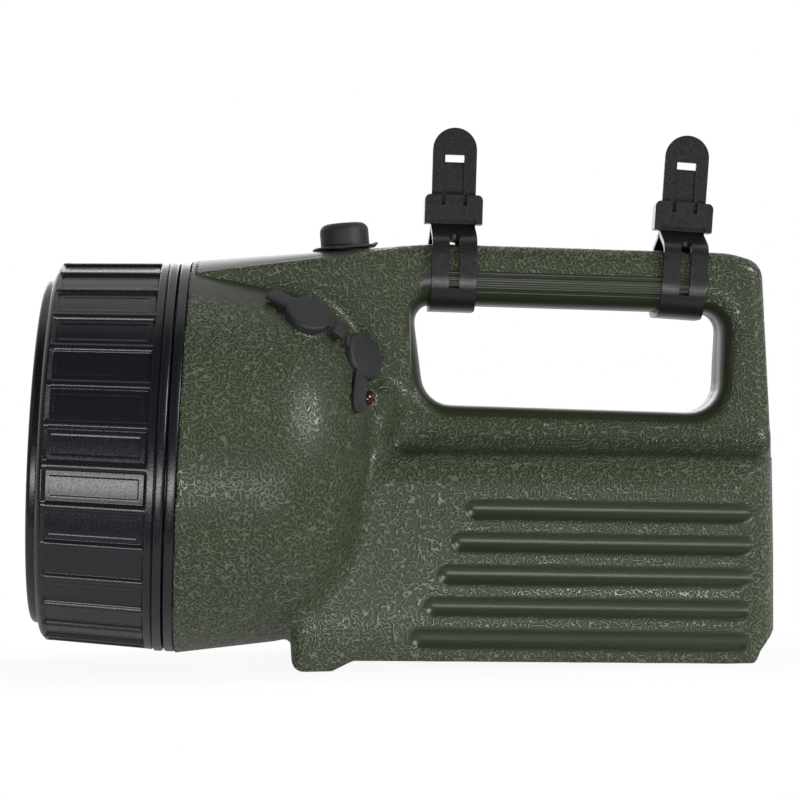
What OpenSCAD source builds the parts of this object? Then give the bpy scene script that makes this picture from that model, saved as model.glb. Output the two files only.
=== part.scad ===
// Rechargeable hand searchlight: two-part casing with a closed handle, screw-on ribbed bezel,
// push button, tethered socket caps and two ladder straps.
// Frame: X along the length with the lens at -X, Z up, origin on the floor under the middle of the length.

/* [Overall] */
// Length from the bezel's lower lip to the rear of the casing
length = 245; // [241:1:256]
// Wall of the casing halves
wall = 2.6; // [2.2:0.1:3]
// Gap between pieces that slide or turn on each other
gap = 0.3; // [0.2:0.05:0.4]

/* [Head] */
// Height of the head's axis where the casing ends
head_height = 69.8; // [69:0.2:72]
// Upward tilt of the head's axis
head_tilt = 3.6; // [2:0.2:5]
// Radius of the casing's mouth
mouth_r = 65; // [64:0.1:66]
// Half angle of the bowl's cone
cone_angle = 9; // [8:0.5:11]
// Depth of the bowl behind its mouth
bowl_depth = 60; // [58:0.5:62]
// Radius that rounds the back of the bowl
bowl_round = 34; // [31:1:37]
// Width of the black collar
collar_w = 3.3; // [3:0.1:4.5]
// Thickness of the collar's sleeve
sleeve_wall = 3.4; // [3:0.1:3.8]

/* [Bezel] */
// Reach of the bezel's lip in front of the casing's mouth
bezel_reach = 47.2; // [46:0.2:50]
// Radius of the bezel's rear flange
bezel_r = 64.6; // [64:0.1:66]
// Height of the bezel's flange above its barrel
barrel_step = 2.2; // [1.2:0.1:2.6]
// Height of the bezel's flange above the bore for the sleeve
sleeve_step = 5.8; // [5.4:0.1:6.4]
// Height of the bezel's flange above its lip
lip_step = 7.6; // [6.8:0.1:8.2]
// Length of the front lip
lip_l = 3.6; // [3:0.2:4.4]
// Width of the lip's face round the lens
rim_w = 5; // [4:0.1:6]
// Number of grip ribs
rib_count = 30; // [20:1:36]
// Turn of the first rib from the top
rib_turn = 3; // [0:0.5:12]
// Width of a grip rib
rib_w = 2.8; // [2:0.1:3.6]
// Depth of the panels between the ribs
rib_depth = 1; // [0.6:0.1:1.2]
// Thickness of the lens
lens_t = 3; // [2.5:0.1:3.2]
// Thickness of the lens gasket
gasket_t = 1.5; // [1:0.1:1.8]

/* [Lamp] */
// Depth of the reflector's dish
dish_depth = 48; // [44:0.5:50]
// Wall of the reflector
reflector_t = 1.4; // [1:0.1:1.8]
// Radius of the bulb holder
holder_r = 9.6; // [9:0.1:10]
// Radius of the bulb's glass
bulb_r = 5.6; // [5:0.1:6]
// Radius of the bulb's metal base
bulb_base_r = 4.6; // [4.2:0.1:5]

/* [Casing] */
// Width of the battery box
box_w = 66; // [64:1:72]
// Height of the battery box's shoulders at its front
box_top = 70.5; // [69:0.5:72]
// Slope of the battery box, down to the rear
box_slope = 1.6; // [1:0.1:2]
// Radius of the battery box's shoulders
shoulder_r = 10; // [8:0.5:12]
// Radius of the battery box's lower edges
keel_r = 5; // [4:0.5:7]
// Length of the front foot
foot_l = 13; // [11:0.5:15]
// Height of the box's floor line behind the foot
foot_rise = 3.3; // [2.5:0.1:4]
// Width of the spine at the head
spine_w = 50; // [46:1:54]
// Number of grooves on each side
groove_count = 5; // [3:1:5]
// Height of a groove
groove_h = 5.4; // [4.5:0.1:6]
// Depth of a groove
groove_depth = 1.5; // [1:0.1:1.7]
// Spacing of the grooves
groove_pitch = 10.4; // [9.5:0.1:10.6]

/* [Handle] */
// Width of the handle
handle_w = 30; // [28:0.5:32]
// Thickness of the handle
handle_h = 19.8; // [18:0.2:21]
// Height of the handle's top at its front end
handle_top = 139.2; // [138:0.2:142]
// Slope of the handle, down to the rear
handle_tilt = 2.6; // [1.5:0.1:3.5]
// Distance from the bowl's mouth to the finger opening
opening_at = 76.4; // [74:0.2:80]
// Height of the finger opening's lower edge at its front
opening_low = 86; // [84:0.2:88]
// Thickness of the rear post
post_w = 15.5; // [14:0.5:18]
// Number of fine grip ribs on each side of the handle
grip_count = 5; // [3:1:5]
// Spacing of the fine grip ribs
grip_pitch = 1.6; // [1.4:0.1:1.8]

/* [Button] */
// Radius of the push button
button_r = 8.1; // [7:0.1:9]
// Height of the push button above the spine
button_h = 8.6; // [7:0.2:11]
// Travel of the push button
button_travel = 3; // [2:0.2:3.6]
// Radius of the boot's flange
boot_r = 11; // [10.5:0.1:12]

/* [Sockets] */
// Radius of the charging socket's cap
charge_cap_r = 7.7; // [7.2:0.1:8]
// Radius of the second socket's cap
aux_cap_r = 8.2; // [7.6:0.1:8.4]
// Thickness of the caps
cap_t = 2.2; // [1.8:0.1:2.6]
// Radius of the sockets' plug bore
jack_r = 1.8; // [1.6:0.05:2]
// Length of the sockets' plug bore
jack_l = 10; // [8:0.5:11]
// Radius of the charging lamp
lamp_r = 2; // [1.6:0.1:2.4]

/* [Straps] */
// Width of the straps
strap_w = 14.7; // [13:0.1:16]
// Thickness of the straps
strap_t = 1.8; // [1.4:0.1:2.2]
// Height of the strap tails above the handle
tail_h = 39.4; // [36:0.2:42]
// Width of the buckles
buckle_w = 19.3; // [18.6:0.1:21]
// Height of the buckles
buckle_h = 9.7; // [8:0.1:10.5]
// Distance from the opening's front edge to the front strap
front_strap_at = 14; // [13.5:0.5:20]
// Distance from the opening's rear edge to the rear strap
rear_strap_at = 12.5; // [12:0.5:18]

/* [Battery] */
// Distance from the battery to the casing's rear face
battery_end = 17; // [16:0.5:24]
// Width of the battery
battery_w = 47; // [44:1:50]
// Height of the battery
battery_h = 47; // [44:1:49]

/* [Hidden] */
$fn = 64;
rear_x = length / 2;
lip_round = 1;
barrel_r = bezel_r - barrel_step;
lip_r = bezel_r - lip_step;
aperture_r = lip_r - rim_w;
sleeve_r = bezel_r - sleeve_step;
sleeve_bore = sleeve_r - sleeve_wall;
spigot_r = mouth_r - 6.2;
spigot_bore = spigot_r - sleeve_wall;
collar_r = bezel_r;
head_x = bezel_reach * cos(head_tilt) + (lip_r - lip_round) * sin(head_tilt) - rear_x;
box_half = box_w / 2;
handle_half = handle_w / 2;
spine_top = handle_top + 0.1;
handle_top_r = 5;
handle_low_r = 9;
opening_x = head_x + opening_at;
opening_l = rear_x - post_w - opening_x;
battery_l = rear_x - battery_end - opening_x - 6;
floor_x = head_x + bowl_depth - 5.5;
heel_x = rear_x - 18;
floor_slope = atan(foot_rise / (heel_x - floor_x));
collar_face = collar_w;
bezel_back = collar_face + 0.4;
reflector_seat = bezel_reach - 11.2;
lens_play = 0.1;
lens_seat = bezel_reach - lip_l - lens_play - 1.6;
screw_r = 1.5;
screw_head_r = 2.9;
screw_head_h = 2.2;
screw_seat = 9;
screw_grip = 8;
boss_r = 5.2;
button_x = opening_x - 21.6;
lead_r = 1.1;

// Unit vector, and the arc that rounds a corner of an outline
function unit(v) = v / norm(v);
function turned(v, angle) = [v[0] * cos(angle) - v[1] * sin(angle), v[0] * sin(angle) + v[1] * cos(angle)];
function flat(p) = [p[0], p[1]];
function corner_arc(before, at, after, r, steps) =
    let (
        u = unit(before - at),
        v = unit(after - at),
        half = acos(u * v) / 2,
        centre = at + unit(u + v) * r / sin(half),
        start = at + u * r / tan(half) - centre,
        turn = sign(cross(-u, v)) * (180 - 2 * half)
    )
    [for (k = [0 : steps]) centre + turned(start, turn * k / steps)];

// Outline through corners [x, y, rounding radius]
function outline(corners, steps = 6) =
    let (n = len(corners))
    [for (i = [0 : n - 1])
        let (at = corners[i], before = corners[(i + n - 1) % n], after = corners[(i + 1) % n])
        each (at[2] > 0 ? corner_arc(flat(before), flat(at), flat(after), at[2], steps) : [flat(at)])];

// Matrix that puts local Z along axis and local X as near as it can to a wanted direction
function placed(at, axis, toward) =
    let (
        z = unit(axis),
        x = unit(toward - z * (z * toward)),
        y = cross(z, x)
    )
    [[x[0], y[0], z[0], at[0]], [x[1], y[1], z[1], at[1]], [x[2], y[2], z[2], at[2]], [0, 0, 0, 1]];
function across(axis, toward) = unit(toward - unit(axis) * (unit(axis) * toward));

// Frames: the head has Z forward along its axis and X up, the handle has X along it and Z up from its top
module at_head() translate([head_x, 0, head_height]) rotate([0, head_tilt - 90, 0]) children();
module at_handle() translate([opening_x, 0, handle_top]) rotate([0, handle_tilt, 0]) children();
module at_box() translate([floor_x, 0, foot_rise]) rotate([0, box_slope, 0]) children();
module at_floor() translate([floor_x, 0, foot_rise]) rotate([0, floor_slope, 0]) children();
module along_x() rotate([90, 0, 90]) children();
module side_slab(half) translate([0, half, 0]) rotate([90, 0, 0]) linear_extrude(2 * half) children();
module left_half() intersection() {
    children();
    translate([-rear_x - 50, -100, -20]) cube([length + 100, 100, 240]);
}
module right_half() intersection() {
    children();
    translate([-rear_x - 50, 0, -20]) cube([length + 100, 100, 240]);
}

// Point of a head-frame position [up, side, forward] in the part's frame
function head_point(p) = [
    head_x + p[0] * sin(head_tilt) - p[2] * cos(head_tilt),
    p[1],
    head_height + p[0] * cos(head_tilt) + p[2] * sin(head_tilt)];

// Radius of the bowl's outside at a distance from its back, and the point that stands a height above it there
bowl_half = 45 + cone_angle / 2;
bowl_arc = [
    mouth_r - bowl_depth * tan(cone_angle) - bowl_round / tan(bowl_half),
    bowl_round - bowl_depth];
function bowl_r(back) = back < bowl_round * (1 - sin(cone_angle))
    ? bowl_arc[0] + sqrt(bowl_round * bowl_round - pow(bowl_round - back, 2))
    : mouth_r - (bowl_depth - back) * tan(cone_angle);
function bowl_point(back, turn, rise) = head_point([
    (bowl_r(back) + rise) * cos(turn), -(bowl_r(back) + rise) * sin(turn), back - bowl_depth]);

// Places on the bowl for the caps and the lamp, with the direction they face
charge_at = bowl_point(21.6, 37.4, 1.45);
charge_axis = unit([0.32, -0.65, 0.69]);
aux_at = bowl_point(3.3, 38.7, 4.3);
aux_axis = unit([0.75, -0.6, 0.28]);
lamp_at = bowl_point(0.6, 49.9, 1.7);
lamp_axis = unit([0.55, -0.83, 0.05]);
cap_line = aux_at - charge_at;
cap_boss_r = charge_cap_r + 0.4;
hinge_rise = cap_t / 2;
hinge_gap = 1.6;
neck_t = 0.8;
charge_hinge = charge_at + across(charge_axis, cap_line) * (charge_cap_r + hinge_gap) + charge_axis * hinge_rise;
aux_hinge = aux_at - across(aux_axis, cap_line) * (aux_cap_r + hinge_gap) + aux_axis * hinge_rise;

// Casing screws [x, z, boss length]: spine, post, box's upper rear, heel, foot, and box's front
narrow_boss = handle_half - wall / 2;
wide_boss = box_half - wall - 1;
screws = [
    [opening_x - 5.5, handle_top - 12, narrow_boss],
    [rear_x - 9, handle_top - 17, narrow_boss],
    [rear_x - 10, box_top - 12, wide_boss],
    [rear_x - 9, 17, wide_boss],
    [floor_x - 8, 10, wide_boss - 0.5],
    [opening_x - 5.5, box_top + 3, narrow_boss]];

// Casing outside, shrunk inwards by e on every face
module bowl_solid(e) {
    drop = tan(cone_angle);
    front = e > 0 ? 1 : 0;
    mouth = mouth_r - e / cos(cone_angle);
    back = -bowl_depth + e;
    at_head() rotate_extrude($fn = 128) polygon(outline([
        [0, front, 0],
        [mouth + drop * front, front, 0],
        [mouth + drop * back, back, bowl_round - e],
        [0, back, 0]], 10));
}

module spine_solid(e) {
    start = -2;
    arch_r = mouth_r + 0.2 - e;
    half = spine_w / 2 - e;
    foot_line = 0;
    hull() {
        at_head() translate([0, 0, start - 1]) linear_extrude(1) intersection() {
            circle(arch_r, $fn = 128);
            translate([foot_line, -half]) square([arch_r, 2 * half]);
        }
        translate([opening_x - 1 - e, 0, 0]) along_x() linear_extrude(1) polygon(outline([
            [e - handle_half, box_top - 9, 0],
            [handle_half - e, box_top - 9, 0],
            [handle_half - e, spine_top - e, handle_top_r - e / 2],
            [e - handle_half, spine_top - e, handle_top_r - e / 2]]));
    }
}

module handle_bar(e) {
    at_handle() translate([-0.5, 0, 0]) along_x() linear_extrude(rear_x - opening_x + 6) polygon(outline([
        [e - handle_half, -e, handle_top_r - e / 2],
        [e - handle_half, e - handle_h, handle_low_r - e],
        [handle_half - e, e - handle_h, handle_low_r - e],
        [handle_half - e, -e, handle_top_r - e / 2]]));
}

module post_bar(e) {
    round_r = 5 - e / 2;
    front = rear_x - post_w + e;
    linear_extrude(handle_top) polygon(outline([
        [front, e - handle_half, round_r],
        [rear_x - e, e - handle_half, round_r],
        [rear_x - e, handle_half - e, round_r],
        [front, handle_half - e, round_r]]));
}

module lower_bar(e) {
    drop = 40;
    translate([opening_x, 0, opening_low - 0.4]) rotate([0, handle_tilt, 0]) translate([-6, 0, 0])
        along_x() linear_extrude(rear_x - opening_x + 12) polygon(outline([
            [e - handle_half, -drop, 0],
            [handle_half - e, -drop, 0],
            [handle_half - e, -e, 7 - e],
            [e - handle_half, -e, 7 - e]]));
}

// Outline of the handle's loop, and of the finger opening in it
module loop_outline(e) {
    bend = rear_x - 13;
    function top_line(x) = handle_top - e - (x - opening_x) * tan(handle_tilt);
    polygon(outline([
        [opening_x - 5, top_line(opening_x - 5), 0],
        [opening_x - 5, 40, 0],
        [rear_x - e, 40, 0],
        [rear_x - e, box_top + 4, 0],
        [rear_x - 2 - e, top_line(rear_x) - 2.8, 7 - e],
        [bend, top_line(bend), 30]]));
}

module opening_outline(e) {
    low = opening_low - e;
    high = handle_top - handle_h + e;
    rear = opening_x + opening_l + e;
    polygon(outline([
        [opening_x - e, high, 2.5],
        [opening_x - e + 3.4, low, 9 + e],
        [rear - 1.6, low - opening_l * tan(handle_tilt), 10 + e],
        [rear, high - opening_l * tan(handle_tilt), 6 + e]]));
}

module loop_solid(e) intersection() {
    side_slab(handle_half) loop_outline(e);
    union() {
        handle_bar(e);
        post_bar(e);
        lower_bar(e);
        side_slab(handle_half - 8 - e / 2) difference() {
            loop_outline(e);
            opening_outline(e);
        }
    }
}

// Half width of the box, which tapers below its straight part
taper_h = 36;
taper_w = 3;
function side_half(z) = box_half - taper_w * max(0, 1 - z / taper_h);

module box_solid(e) {
    front = floor_x - foot_l - 7;
    back = rear_x - e;
    round_r = 11 - e;
    intersection() {
        side_slab(box_half) polygon(outline([
            [front + e, box_top, 0],
            [front + e, e, 4 - e],
            [floor_x - 7, e, 0],
            [floor_x, foot_rise + e, 0],
            [heel_x, e, 0],
            [rear_x - 9 - e, e, 2],
            [rear_x - 7 - e, 4, 1],
            [back, 12, 4],
            [back, box_top, 0]]));
        at_box() translate([-60, 0, 0]) along_x() linear_extrude(length) polygon(outline([
            [e - box_half + taper_w, -12, 0],
            [box_half - taper_w - e, -12, 0],
            [box_half - taper_w - e, 0, 0],
            [box_half - e, taper_h, 0],
            [box_half - e, box_top - foot_rise - e, shoulder_r - e],
            [e - box_half, box_top - foot_rise - e, shoulder_r - e],
            [e - box_half, taper_h, 0],
            [e - box_half + taper_w, 0, 0]]));
        linear_extrude(box_top + 10) polygon(outline([
            [front + e, e - box_half + 2, keel_r],
            [back, e - box_half, round_r],
            [back, box_half - e, round_r],
            [front + e, box_half - e - 2, keel_r]]));
    }
}

module casing_solid(e) {
    bowl_solid(e);
    spine_solid(e);
    loop_solid(e);
    box_solid(e);
}

// Smooth grooves along the box, with pointed ends
module groove(long) {
    r = (groove_h * groove_h / 4 + groove_depth * groove_depth) / (2 * groove_depth);
    tip = 6;
    translate([0, r - groove_depth, 0]) rotate([0, 90, 0]) {
        cylinder(h = tip, r1 = r - groove_depth, r2 = r);
        translate([0, 0, tip]) cylinder(h = long - 2 * tip, r = r);
        translate([0, 0, long - tip]) cylinder(h = tip, r1 = r, r2 = r - groove_depth);
    }
}

module grooves() {
    first_x = opening_x + 15;
    step_x = 4.6;
    first_z = box_top - 18.6;
    rise = 2;
    for (i = [0 : groove_count - 1])
        translate([first_x - i * step_x, side_half(first_z - i * groove_pitch - foot_rise + rise), first_z - i * groove_pitch])
            rotate([0, box_slope + 0.3, 0])
                groove(rear_x - 7 - i - first_x + i * step_x);
}

// Fine ribs along the handle's sides
module grip_lines() {
    start = 5;
    first = -9;
    depth = 0.4;
    at_handle() for (i = [0 : grip_count - 1])
        translate([start, handle_half - depth, first - i * grip_pitch])
            cube([opening_l - 2 * start - 5, 2, grip_pitch / 2]);
}

module screw_bosses(side) {
    for (s = screws)
        translate([s[0], 0, s[1]]) rotate([side * -90, 0, 0]) cylinder(h = s[2], r = boss_r);
}

// Ribs in each half that hold the battery's ends, the board's edges and the switch
module inner_ribs(side) {
    rib_t = 2;
    low = board_low;
    rib_reach = box_half - wall - 0.5;
    for (x = [battery_start - rib_t - gap, battery_start + battery_l + gap])
        at_floor() translate([x, side_start(side, 12, rib_reach), 14])
            cube([rib_t, rib_reach - 12, battery_h - 18]);
    for (x = [board_x - rib_t - 0.1, board_x + board_t + 0.1])
        translate([x, side_start(side, board_half - 4, rib_reach), low])
            cube([rib_t, rib_reach - board_half + 4, board_h]);
    translate([board_x - rib_t - 0.1, side_start(side, board_half - 4, rib_reach), low - rib_t])
        cube([2 * rib_t + board_t + 0.2, rib_reach - board_half + 4, rib_t]);
    at_button() {
        translate([-4, side_start(side, switch_half + gap, switch_reach), -switch_drop - switch_l + 3])
            cube([8, switch_reach - switch_half - gap, switch_l - 8]);
        translate([-4, side_start(side, 4, switch_reach), -switch_drop - switch_l - rib_t])
            cube([8, switch_reach - 4, rib_t]);
    }
}

// Lower side position of a rib that reaches from a to b on one side of the parting plane
function side_start(side, a, b) = side > 0 ? a : -b;

module collar_ring() {
    at_head() translate([0, 0, -5]) difference() {
        cylinder(h = 2, r = mouth_r - wall / 2 - 1, $fn = 128);
        translate([0, 0, -1]) cylinder(h = 4, r = spigot_r - 0.6, $fn = 128);
    }
}

battery_start = opening_x + 6 - floor_x;
switch_half = 9;
switch_reach = 16.6;

module half_shell(side) {
    difference() {
        union() {
            difference() {
                casing_solid(0);
                casing_solid(wall);
            }
            collar_ring();
            screw_bosses(side);
            inner_ribs(side);
            if (side < 0) cap_bosses();
        }
        mirror([0, side > 0 ? 0 : 1, 0]) grooves();
        mirror([0, side > 0 ? 0 : 1, 0]) grip_lines();
        at_button() translate([0, 0, -12]) cylinder(h = 20, r = button_r + gap);
        if (side < 0) cap_bores();
    }
}

// Raised bosses for the sockets, and the holes of the sockets, the lamp and the link's peg
module cap_bosses() {
    multmatrix(placed(charge_at, charge_axis, cap_line)) translate([0, 0, -9]) cylinder(h = 9, r = cap_boss_r);
    multmatrix(placed(aux_at, aux_axis, -cap_line)) translate([0, 0, -9]) cylinder(h = 9, r = cap_boss_r);
    multmatrix(placed(lamp_at, lamp_axis, [0, 0, 1])) translate([0, 0, -7]) cylinder(h = 7, r = lamp_r + 1.6);
}

socket_r = 5;
module cap_bores() {
    multmatrix(placed(charge_at, charge_axis, cap_line)) translate([0, 0, -20]) cylinder(h = 30, r = socket_r + 0.05);
    multmatrix(placed(aux_at, aux_axis, -cap_line)) translate([0, 0, -20]) cylinder(h = 30, r = socket_r + 0.05);
    multmatrix(placed(lamp_at, lamp_axis, [0, 0, 1])) translate([0, 0, -12]) cylinder(h = 20, r = lamp_r + 0.1);
    multmatrix(placed(link_mid, link_axis, cap_line)) translate([0, 0, -20]) cylinder(h = 30, r = peg_r);
}

link_mid = (charge_hinge + aux_hinge) / 2;
link_axis = unit(charge_axis + aux_axis);
peg_r = 1.5;

module left_shell() color("darkolivegreen") difference() {
    left_half() half_shell(-1);
    for (s = screws)
        translate([s[0], 0, s[1]]) rotate([90, 0, 0]) translate([0, 0, -1])
            cylinder(h = screw_grip + 3, r = screw_r + 0.05);
}

module right_shell() color("darkolivegreen") difference() {
    right_half() half_shell(1);
    for (s = screws) translate([s[0], 0, s[1]]) rotate([-90, 0, 0]) {
        translate([0, 0, -1]) cylinder(h = box_half + 10, r = screw_r + 0.2);
        translate([0, 0, screw_seat]) cylinder(h = box_half, r = screw_head_r + gap);
    }
}

module shell_screws() color("silver") for (s = screws)
    translate([s[0], 0, s[1]]) rotate([-90, 0, 0]) {
        translate([0, 0, -screw_grip]) cylinder(h = screw_grip + screw_seat, r = screw_r);
        translate([0, 0, screw_seat]) cylinder(h = screw_head_h, r = screw_head_r);
    }

// Collar: a flange against the mouth, and a sleeve that the bezel turns on
module head_collar() color("black") at_head() rotate_extrude($fn = 128) polygon([
    [spigot_bore, -8],
    [spigot_r, -8],
    [spigot_r, -5.2],
    [spigot_r - 0.9, -5.2],
    [spigot_r - 0.9, -2.8],
    [spigot_r, -2.8],
    [spigot_r, 0],
    [collar_r - 0.4, 0],
    [collar_r, 0.6],
    [collar_r, collar_face - 0.5],
    [collar_r - 0.4, collar_face],
    [sleeve_r, collar_face],
    [sleeve_r, reflector_seat],
    [rim_bore, reflector_seat],
    [rim_bore, reflector_seat - 1.6],
    [sleeve_bore, reflector_seat - 4],
    [sleeve_bore, spigot_bore > sleeve_bore ? 0 : collar_face],
    [spigot_bore, spigot_bore > sleeve_bore ? 0 : collar_face]]);
rim_bore = aperture_r + 0.8;

// Bezel: flange, ribbed barrel, rounded shoulder and lip, bored for the sleeve and the lens
module bezel_blank() rotate_extrude($fn = 128) polygon(concat(
    [[sleeve_r + gap, bezel_back], [bezel_r - 0.8, bezel_back], [bezel_r, bezel_back + 0.6],
     [bezel_r, bezel_back + 3.2], [bezel_r - 0.5, bezel_back + 3.5]],
    corner_arc([bezel_r - 0.5, bezel_back + 3.5], [barrel_r, bezel_reach - lip_l],
               [lip_r + 0.4, bezel_reach - lip_l], 4, 6),
    [[lip_r, bezel_reach - lip_l]],
    corner_arc([lip_r, bezel_reach - lip_l], [lip_r, bezel_reach], [aperture_r, bezel_reach], lip_round, 4),
    [[aperture_r + 1, bezel_reach], [aperture_r, bezel_reach - 1], [aperture_r, lens_seat + lens_t + lens_play],
     [lens_bore, lens_seat + lens_t + lens_play], [lens_bore, reflector_seat + gap],
     [sleeve_r + gap, reflector_seat + gap]]));

lens_bore = lip_r - 2;

module bezel() color("#202124") at_head() difference() {
    bezel_blank();
    panel_from = bezel_back + 6.2;
    panel_to = bezel_reach - lip_l - 2;
    panel_half = PI * barrel_r / rib_count - rib_w / 2;
    taper = atan((bezel_r - 0.5 - barrel_r) / (bezel_reach - lip_l - bezel_back - 3.5));
    for (i = [0 : rib_count - 1]) rotate([0, 0, rib_turn + (i + 0.5) * 360 / rib_count])
        translate([bezel_r - 0.5 - rib_depth, 0, bezel_back + 3.5]) rotate([0, -taper, 0])
            translate([0, -panel_half, panel_from - bezel_back - 3.5])
                cube([5, 2 * panel_half, panel_to - panel_from]);
}

module lens() color("lightcyan", 0.5) at_head()
    translate([0, 0, lens_seat]) cylinder(h = lens_t, r = lens_bore - gap, $fn = 128);

module lens_gasket() color("dimgray") at_head() translate([0, 0, lens_seat - gasket_t]) difference() {
    cylinder(h = gasket_t, r = lens_bore - gap, $fn = 128);
    translate([0, 0, -1]) cylinder(h = gasket_t + 2, r = aperture_r + 0.6, $fn = 128);
}

// Reflector: a parabola r = sqrt(4 f depth) with a rim on the sleeve and a neck for the bulb holder
focal_l = pow(rim_bore - reflector_t - 1.44, 2) / (4 * dish_depth);
reflector_back = reflector_seat - dish_depth;
neck_r = holder_r + gap;
neck_l = 12;
function dish_r(z) = sqrt(4 * focal_l * (z - reflector_back));
module reflector() color("gainsboro") at_head() {
    low = neck_r * neck_r / (4 * focal_l) + reflector_back;
    steps = 14;
    levels = [for (k = [0 : steps]) low + (reflector_seat - low) * pow(k / steps, 1.5)];
    rim_t = lens_seat - gasket_t - reflector_seat;
    rotate_extrude($fn = 128) polygon(concat(
        [[neck_r, low - neck_l]],
        [for (z = levels) [dish_r(z), z]],
        [[dish_r(reflector_seat), reflector_seat + rim_t], [lens_bore - gap, reflector_seat + rim_t],
         [lens_bore - gap, reflector_seat], [rim_bore - 0.3, reflector_seat]],
        [for (k = [steps : -1 : 0]) [dish_r(levels[k]) + reflector_t, levels[k] - (k > 0 ? reflector_t * 0.6 : 0)]],
        [[neck_r + reflector_t, low - neck_l]]));
}

neck_end = neck_r * neck_r / (4 * focal_l) + reflector_back - neck_l;
module bulb_holder() color("#30343a") at_head() difference() {
    union() {
        translate([0, 0, neck_end - 1]) cylinder(h = neck_l - 1, r = holder_r);
        translate([0, 0, neck_end - 3]) cylinder(h = 3, r = holder_r + 4);
        translate([0, 0, neck_end - 16]) cylinder(h = 14, r = holder_r - 1);
    }
    translate([0, 0, neck_end - 10]) cylinder(h = 60, r = bulb_base_r + 0.1);
}

module bulb_contact() color("goldenrod") at_head()
    translate([0, 0, neck_end - 10]) cylinder(h = 1, r = bulb_base_r - 0.6);

module bulb_base() color("goldenrod") at_head() translate([0, 0, neck_end - 9])
    cylinder(h = base_top - neck_end + 9, r = bulb_base_r);

base_top = reflector_back + focal_l - bulb_r - 4;
module bulb_glass() color("white", 0.5) at_head() rotate_extrude() polygon(concat(
    [[0, base_top], [bulb_base_r - 0.6, base_top]],
    [for (a = [-50 : 10 : 90]) [bulb_r * cos(a), reflector_back + focal_l + bulb_r * sin(a)]]));

// Button on the spine, square to its top
spine_front = head_point([mouth_r + 0.2, 0, -2]);
spine_rise = atan((spine_top - spine_front[2]) / (opening_x - 1 - spine_front[0]));
button_z = spine_top + 0.05 - (opening_x - 1 - button_x) * tan(spine_rise);
module at_button() translate([button_x, 0, button_z]) rotate([0, -spine_rise, 0]) children();

boot_t = 0.9;
module boot_flange() color("#26282a") at_button() difference() {
    cylinder(h = boot_t, r = boot_r);
    translate([0, 0, -1]) cylinder(h = 4, r = button_r + gap);
}

module switch_button() color("#1c1e20") at_button() rotate_extrude() polygon(concat(
    [[0, button_h - 2], [button_r - 2, button_h - 2], [button_r - 2, -4], [button_r, -4]],
    corner_arc([button_r, -4], [button_r, button_h], [0, button_h], 2.6, 6),
    [[0, button_h]]));

plunger_r = 3;
module switch_plunger() color("ivory") at_button()
    translate([0, 0, -switch_drop - 1]) cylinder(h = button_h - 2 + switch_drop + 1, r = plunger_r);

switch_drop = 8;
switch_l = 18;
module switch_body() color("#3a3d42") at_button() translate([0, 0, -switch_drop - switch_l]) difference() {
    translate([-switch_half, -switch_half, 0]) cube([2 * switch_half, 2 * switch_half, switch_l]);
    translate([0, 0, switch_l - 2 - button_travel]) cylinder(h = 10, r = plunger_r + gap);
}

module switch_terminals() color("goldenrod") at_button() for (x = [-5, 5])
    translate([x - 1, -0.4, -switch_drop - switch_l - 6]) cube([2, 0.8, 6]);

// Sockets behind the caps, with a recess for the cap's plug and a bore for the charger's plug
socket_l = 14;
recess = 3;
module socket_body() difference() {
    translate([0, 0, -socket_l]) cylinder(h = socket_l, r = socket_r);
    translate([0, 0, -recess]) cylinder(h = recess + 1, r = 4);
    translate([0, 0, -recess - jack_l]) cylinder(h = jack_l + 1, r = jack_r);
}
module charge_socket() color("#33363a") multmatrix(placed(charge_at, charge_axis, cap_line)) socket_body();
module aux_socket() color("#33363a") multmatrix(placed(aux_at, aux_axis, -cap_line)) socket_body();

// Cap with a plug that enters the recess, a tongue to pull and a flap that ends at the hinge
module cap_shape(r) {
    seat = 0.1;
    translate([0, 0, seat]) cylinder(h = cap_t - seat, r = r);
    translate([0, 0, 0.4 - recess]) cylinder(h = recess, r = 3);
    translate([0, -2.6, seat]) cube([r + hinge_gap - 1.3, 5.2, cap_t - 0.6]);
    translate([0, -2, hinge_rise - neck_t / 2]) cube([r + hinge_gap - 0.3, 4, neck_t]);
}
module tongue(r, long) translate([r - 2, -2, 0.4]) cube([long + 2, 4, cap_t - 1]);
module charge_cap() color("#2e3134") {
    multmatrix(placed(charge_at, charge_axis, cap_line)) cap_shape(charge_cap_r);
    multmatrix(placed(charge_at, charge_axis, -cap_line)) tongue(charge_cap_r, 5);
}
module aux_cap() color("#2e3134") {
    multmatrix(placed(aux_at, aux_axis, -cap_line)) cap_shape(aux_cap_r);
    multmatrix(placed(aux_at, aux_axis, [-0.35, -0.2, -0.9])) tongue(aux_cap_r, 5);
}

module cap_link() color("#2e3134") {
    span = norm(aux_hinge - charge_hinge);
    multmatrix(placed(link_mid, link_axis, aux_hinge - charge_hinge)) {
        translate([1.4 - span / 2, -2.6, -cap_t / 2]) cube([span - 2.8, 5.2, cap_t - 0.6]);
        translate([0.7 - span / 2, -2, -neck_t / 2]) cube([span - 1.4, 4, neck_t]);
        translate([0, 0, -12]) cylinder(h = 12, r = peg_r - 0.05);
    }
}

module charge_lamp() color("darkred") multmatrix(placed(lamp_at, lamp_axis, [0, 0, 1])) {
    translate([0, 0, -7]) cylinder(h = 7, r = lamp_r);
    sphere(lamp_r, $fn = 32);
}

// Straps: a loop round the handle that closes in a peak, with a flat tail above it
strap_gap = 0.4;
peak = 5;
strap_pull = 8.6;
module at_strap(along, lean) at_handle() translate([along, 0, -handle_h / 2]) rotate([0, lean, 0])
    translate([0, 0, handle_h / 2]) children();

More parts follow.
